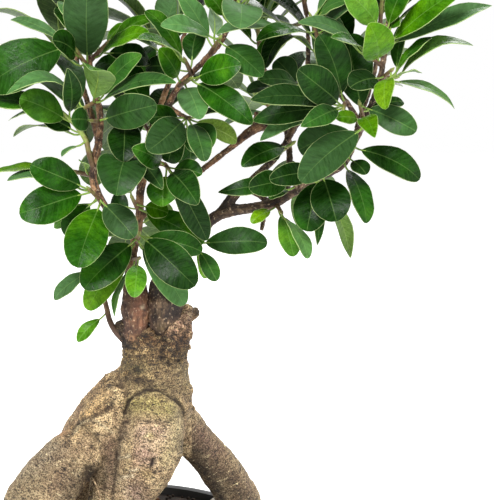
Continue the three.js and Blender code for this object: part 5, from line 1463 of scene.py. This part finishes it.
def placeLeaves():
    wood = [keepOff(*stationsOf(branch)) for branch in leftWood + rightWood]
    stems = [stemOf(shoot) for shoot in shoots]
    stemBars = [keepOff(*stem) for stem in stems]
    leaves = [[] for _ in shoots]
    placed = []
    wholeEdges = edgesOf(sheetFaces)
    bladeFaces = [(a - 2, b - 2, c - 2) for a, b, c in sheetFaces[2:]]
    bladeEdges = edgesOf(bladeFaces)

    def tryLeaf(leaf, home):
        points = sheetOf(leaf, 0)[0]
        whole = surfaceOf(points, sheetFaces, wholeEdges)
        blade = surfaceOf(points[2:], bladeFaces, bladeEdges)
        reach = points.copy()
        reach[:2] += leafRule["inWood"] * (points[2:4] - points[:2])
        if any(crosses(surfaceOf(reach, sheetFaces, wholeEdges), bar) for bar in wood):
            return False
        if any(i != home and crosses(whole, bar) for i, bar in enumerate(stemBars)):
            return False
        if any(crosses(blade if owner == home else whole, shell) for owner, shell in placed):
            return False
        leaves[home].append(leaf)
        placed.append((home, surfaceOf(*shellOf(leaf, leafRule["clearance"]))))
        return True

    for home, shoot in enumerate(shoots):
        for row in shoot.get("leaves", []):
            any(tryLeaf(listedLeaf(stems[home][0], row, attempt), home)
                for attempt in range(leafRule["triesListed"]))
    for home, shoot in enumerate(shoots):
        for place in range(shoot.get("spiral", 0)):
            seed = home * 1000 + place * 20 + 1
            any(tryLeaf(spiralLeaf(shoot, stems[home][0], place, seed + attempt), home)
                for attempt in range(leafRule["triesSpiral"]))
    return stems, leaves

# Leaves: a blade and a stalk are modelled flat, once for each outline, then copied and bent

leafShape = {
    # across the blade, as shares of the half width
    "columns": [-1, -0.955, -0.8, -0.5, -0.17, -0.045, 0.045, 0.17, 0.5, 0.8, 0.955, 1],
    "rows": 16,
    "thickness": 0.5, "thinTip": 6, "thinnest": 0.35,  # mm, how fast the tip thins, to what share
    "crowded": 0.78,  # how much closer together the rows lie towards both ends
    "stalkSides": 6, "stalkRings": 12, "stalkRadius": 0.62,
    "stalkEnd": 0.62,  # how far along the blade the ridge of the stalk reaches
    "fold": (3, 9),  # degrees that the halves rise from the midrib
    "wave": (0.2, 0.9),  # how far the edges wave
    "waves": (1, 1.2),  # waves along an edge, the least and the spread
    "sideways": 0.045, "twist": 12,  # share of the length, degrees
    "droop": 0.05, "droopFrom": 0.72, "droopEase": 0.08,  # of the tip
    "blunt": 0.07,  # least share of the half width, where the blade leaves the stalk
    "underBlade": 4, "ridgeDrop": 0.55, "ridgeGap": 0.18,  # the ridge hangs under the blade, mm
}

leafStray = {"youth": 0.2, "tone": (0.8, 0.45), "wax": 0.3}  # how leaves of one look differ

# Each outline is a bent half wave. A larger first value moves the widest place towards the tip, and
# a larger second one makes both ends more pointed.
leafOutlines = {"oval": (1.12, 0.58), "blunt": (1.3, 0.47), "lance": (1.12, 0.74)}
outlineRule = {"ovals": 0.3, "lanceUnder": 0.37}  # share of the leaves, width as a share of length

leafLooks = {  # youth from dark green to yellow-green, tone, and how much grey sheen is painted on
    "dark": (0.03, 0.9, 0.02), "green": (0.2, 1, 0.02), "fresh": (0.42, 1.05, 0),
    "young": (0.6, 0.98, 0), "grey": (0.12, 1.08, 0.6), "blue": (0.02, 0.85, 0.28),
    "olive": (0.5, 0.8, 0.4),
}

def halfWidth(outline, t):  # share of the half width at a share of the length
    start, fullness = leafOutlines[outline]
    return np.maximum(np.sin(np.pi * np.clip(t, 0, 1) ** start), 0) ** fullness

def makeBlade(outline, upper, under):
    columns, rows = leafShape["columns"], leafShape["rows"]
    deselect()
    bpy.ops.mesh.primitive_grid_add(x_subdivisions=len(columns) - 1, y_subdivisions=rows, size=2)
    blade = bpy.context.object
    blade.name = outline + "Blade"
    flat = readPoints(blade.data)
    column = np.round((flat[:, 0] + 1) / 2 * (len(columns) - 1)).astype(int)
    t = (flat[:, 1] + 1) / 2
    t = t - leafShape["crowded"] * np.sin(2 * np.pi * t) / (2 * np.pi)
    wide = np.maximum(halfWidth(outline, t), leafShape["blunt"] * (1 - t))
    flat[:, 0] = np.array(columns)[column] * wide
    flat[:, 1] = t
    flat[:, 2] = 1
    writePoints(blade.data, flat)
    bpy.ops.object.mode_set(mode="EDIT")
    bpy.ops.mesh.select_all(action="SELECT")
    bpy.ops.mesh.extrude_region_move(TRANSFORM_OT_translate={"value": (0, 0, -2)})
    bpy.ops.mesh.select_all(action="SELECT")
    bpy.ops.mesh.remove_doubles(threshold=0.0005)
    bpy.ops.mesh.normals_make_consistent(inside=False)
    bpy.ops.object.mode_set(mode="OBJECT")
    blade.data.materials.append(upper)
    blade.data.materials.append(under)
    for face in blade.data.polygons:
        face.material_index = 1 if face.normal.z < -0.5 else 0
    return blade

def makeStalk(material):
    sides, rings = leafShape["stalkSides"], leafShape["stalkRings"]
    deselect()
    bpy.ops.mesh.primitive_grid_add(x_subdivisions=sides, y_subdivisions=rings, size=2)
    stalk = bpy.context.object
    stalk.name = "leafStalk"
    flat = readPoints(stalk.data)
    angle = (flat[:, 0] + 1) * math.pi
    t = (flat[:, 1] + 1) / 2
    foot = 0.35 * np.exp(-(t / 0.06) ** 2)  # thicker where it joins the stem
    taper = 0.82 * np.clip((t - 0.3) / 0.7, 0, 1) ** 1.4
    radius = 1 - taper + foot
    writePoints(stalk.data, np.stack([np.cos(angle) * radius, t, np.sin(angle) * radius], axis=1))
    closeSkin(0.0005)
    stalk.data.materials.append(material)
    return stalk

# Takes points of the flat leaf, in millimetres across, along and above it, to where the leaf grows.
def bendLeaf(leaf, flat, habit):
    way = unit(leaf["tip"] - leaf["root"])
    face = leaf["face"]
    side = np.cross(way, face)
    base = leaf["root"] + way * leafRule["petiole"]
    length = np.linalg.norm(leaf["tip"] - base)
    half = leaf["width"] / 2
    across, distance, above = flat.T
    s = distance / length

    def spine(y):
        share = y / length
        onBlade = 4 * leaf["bow"] * length * share * (1 - share)
        onStalk = 4 * leaf["bow"] * y * (1 + y / leafRule["petiole"])
        lift = np.where(y < 0, onStalk, onBlade)
        ending = np.clip(share - leafShape["droopFrom"], 0, 1)
        lift = lift - habit["droop"] * length * ending ** 2 / leafShape["droopEase"]
        out = np.where(y < 0, 0, habit["sideways"] * length * 4 * share * (1 - share) * share)
        return base + y[:, None] * way + lift[:, None] * face + out[:, None] * side

    centre = spine(distance)
    ahead = spine(distance + 0.2) - spine(distance - 0.2)
    ahead /= np.linalg.norm(ahead, axis=1)[:, None]
    normal = face - ahead * (ahead @ face)[:, None]
    normal /= np.linalg.norm(normal, axis=1)[:, None]
    sideways = np.cross(ahead, normal)
    turn = np.radians(habit["twist"]) * np.clip(s, 0, 1) * 2 - np.radians(habit["twist"]) * 0.6
    turn = turn * np.clip(s * 4, 0, 1)
    turned = sideways * np.cos(turn)[:, None] + normal * np.sin(turn)[:, None]
    raised = normal * np.cos(turn)[:, None] - sideways * np.sin(turn)[:, None]
    reach = np.clip(np.abs(across) / half, 0, 1)
    wave = habit["wave"] * reach ** 2 * np.sin(2 * np.pi * (habit["waves"] * s + habit["phase"]
                                                            + 0.4 * np.sign(across)))
    lift = above + np.abs(across) * math.tan(math.radians(habit["fold"])) + wave * np.clip(s * 3, 0, 1)
    return centre + turned * across[:, None] + raised * lift[:, None]

def leafHabit(draw):
    low, high = leafShape["fold"]
    least, most = leafShape["wave"]
    waves, moreWaves = leafShape["waves"]
    return {
        "fold": low + (high - low) * draw(), "wave": least + (most - least) * draw(),
        "waves": waves + moreWaves * draw(), "phase": draw(),
        "sideways": leafShape["sideways"] * (2 * draw() - 1), "twist": leafShape["twist"] * (2 * draw() - 1),
        "droop": leafShape["droop"] * draw(),
    }

def copyOf(blank):
    copy = blank.copy()
    copy.data = blank.data.copy()
    bpy.context.collection.objects.link(copy)
    return copy

def growLeaf(leaf, blades, stalkBlank, seed):
    draw = seeded(seed)
    habit = leafHabit(draw)
    length = np.linalg.norm(leaf["tip"] - leaf["root"]) - leafRule["petiole"]
    outline = "oval" if draw() < outlineRule["ovals"] else "blunt"
    if leaf["width"] < outlineRule["lanceUnder"] * length:
        outline = "lance"
    half = leaf["width"] / 2
    blade = copyOf(blades[outline])
    flat = readPoints(blade.data)
    t = flat[:, 1].copy()
    flat *= [half, length, leafShape["thickness"] / 2]
    flat[:, 2] *= np.clip((1 - t) * leafShape["thinTip"], leafShape["thinnest"], 1)
    setPoints(blade, bendLeaf(leaf, flat, habit))
    edge = half * halfWidth(outline, t) - np.abs(flat[:, 0])
    keep(blade.data, "leafPlace", "FLOAT_VECTOR", np.stack([flat[:, 0], flat[:, 1], edge], axis=1))
    youth, tone, wax = leafLooks[leaf["look"]]
    least, spread = leafStray["tone"]
    tint = [youth + leafStray["youth"] * (draw() - 0.5), tone * (least + spread * draw()),
            wax + leafStray["wax"] * draw() ** 4]
    keep(blade.data, "leafTint", "FLOAT_VECTOR", np.tile(tint, (len(flat), 1)))
    stalk = copyOf(stalkBlank)
    flat = readPoints(stalk.data)
    share = flat[:, 1].copy()
    reach = leafShape["stalkEnd"] * length
    radius = leafShape["stalkRadius"]
    flat *= [radius, reach + leafRule["petiole"], radius]
    flat[:, 1] -= leafRule["petiole"]
    under = np.clip(flat[:, 1] / leafShape["underBlade"], 0, 1)
    flat[:, 2] -= under * (radius * leafShape["ridgeDrop"] * (1 - share) + leafShape["ridgeGap"])
    setPoints(stalk, bendLeaf(leaf, flat, {**habit, "fold": 0, "wave": 0}))
    keep(stalk.data, "leafPlace", "FLOAT_VECTOR", flat)
    keep(stalk.data, "leafTint", "FLOAT_VECTOR", np.tile(tint, (len(flat), 1)))
    return [blade, stalk]

# A stem with a pointed bud at its end, green at the tip unless it is an old twig
shootShape = {
    "sides": 8, "rings": 8,
    "bud": [(1.375, 1.15), (3.3, 0.75)],  # mm past the stem, share of the radius at its end
    "budTip": (5.5, 0.12),  # mm past the stem, radius
}
oldTwigs = {"shoot_low_twig": (1.35, -0.45), "shoot_left_twin": (1.15, 0.15)}  # how thick, how green

def makeStem(points, radii, material, thick=1, green=0.1):
    way = curveWay(points, 1)
    radii = [radius * thick for radius in radii]
    last, thin = points[-1], radii[-1]
    length, point = shootShape["budTip"]
    points = points + [last + way * past for past, _ in shootShape["bud"]] + [last + way * length]
    radii = radii + [thin * share for _, share in shootShape["bud"]] + [point]
    stem = pathTube("stem", points, radii, shootShape["sides"], shootShape["rings"] * (len(points) - 1))
    place = along(pointsOf(stem), [(points, radii)])
    keep(stem.data, "leafPlace", "FLOAT_VECTOR", place)
    keep(stem.data, "leafTint", "FLOAT_VECTOR", np.tile([green, 1, 0], (len(place), 1)))
    stem.data.materials.append(material)
    return stem

def makeShoots():
    upper, under = leafUpperMaterial(), leafUnderMaterial()
    blades = {outline: makeBlade(outline, upper, under) for outline in leafOutlines}
    stalkBlank = makeStalk(stalkMaterial())
    stemBark = stemMaterial()
    stems, leaves = placeLeaves()
    for home, shoot in enumerate(shoots):
        parts = [makeStem(*stems[home], stemBark, *oldTwigs.get(shoot["name"], ()))]
        for i, leaf in enumerate(leaves[home]):
            parts += growLeaf(leaf, blades, stalkBlank, 100 * home + i + 7)
        words = shoot["name"].split("_")[1:]
        piece = join("leafy" + "".join(word.capitalize() for word in words), parts)
        finish(piece, "leaf", shoot["name"])
    for blank in [*blades.values(), stalkBlank]:
        bpy.data.objects.remove(blank)
    return sum(len(some) for some in leaves)

# Making everything

makeStudio()
print("studio set up")
makePot()
makeSoil()
makePebbles(pebbleMaterial())
print("pot, soil and pebbles made")
stock = makeRootstock()
makeHairRoot(stock.data.materials[0])
print("rootstock made")
for node in scions:
    makeScion(node)
print("grafted wood made")
print("leaves made:", makeShoots())
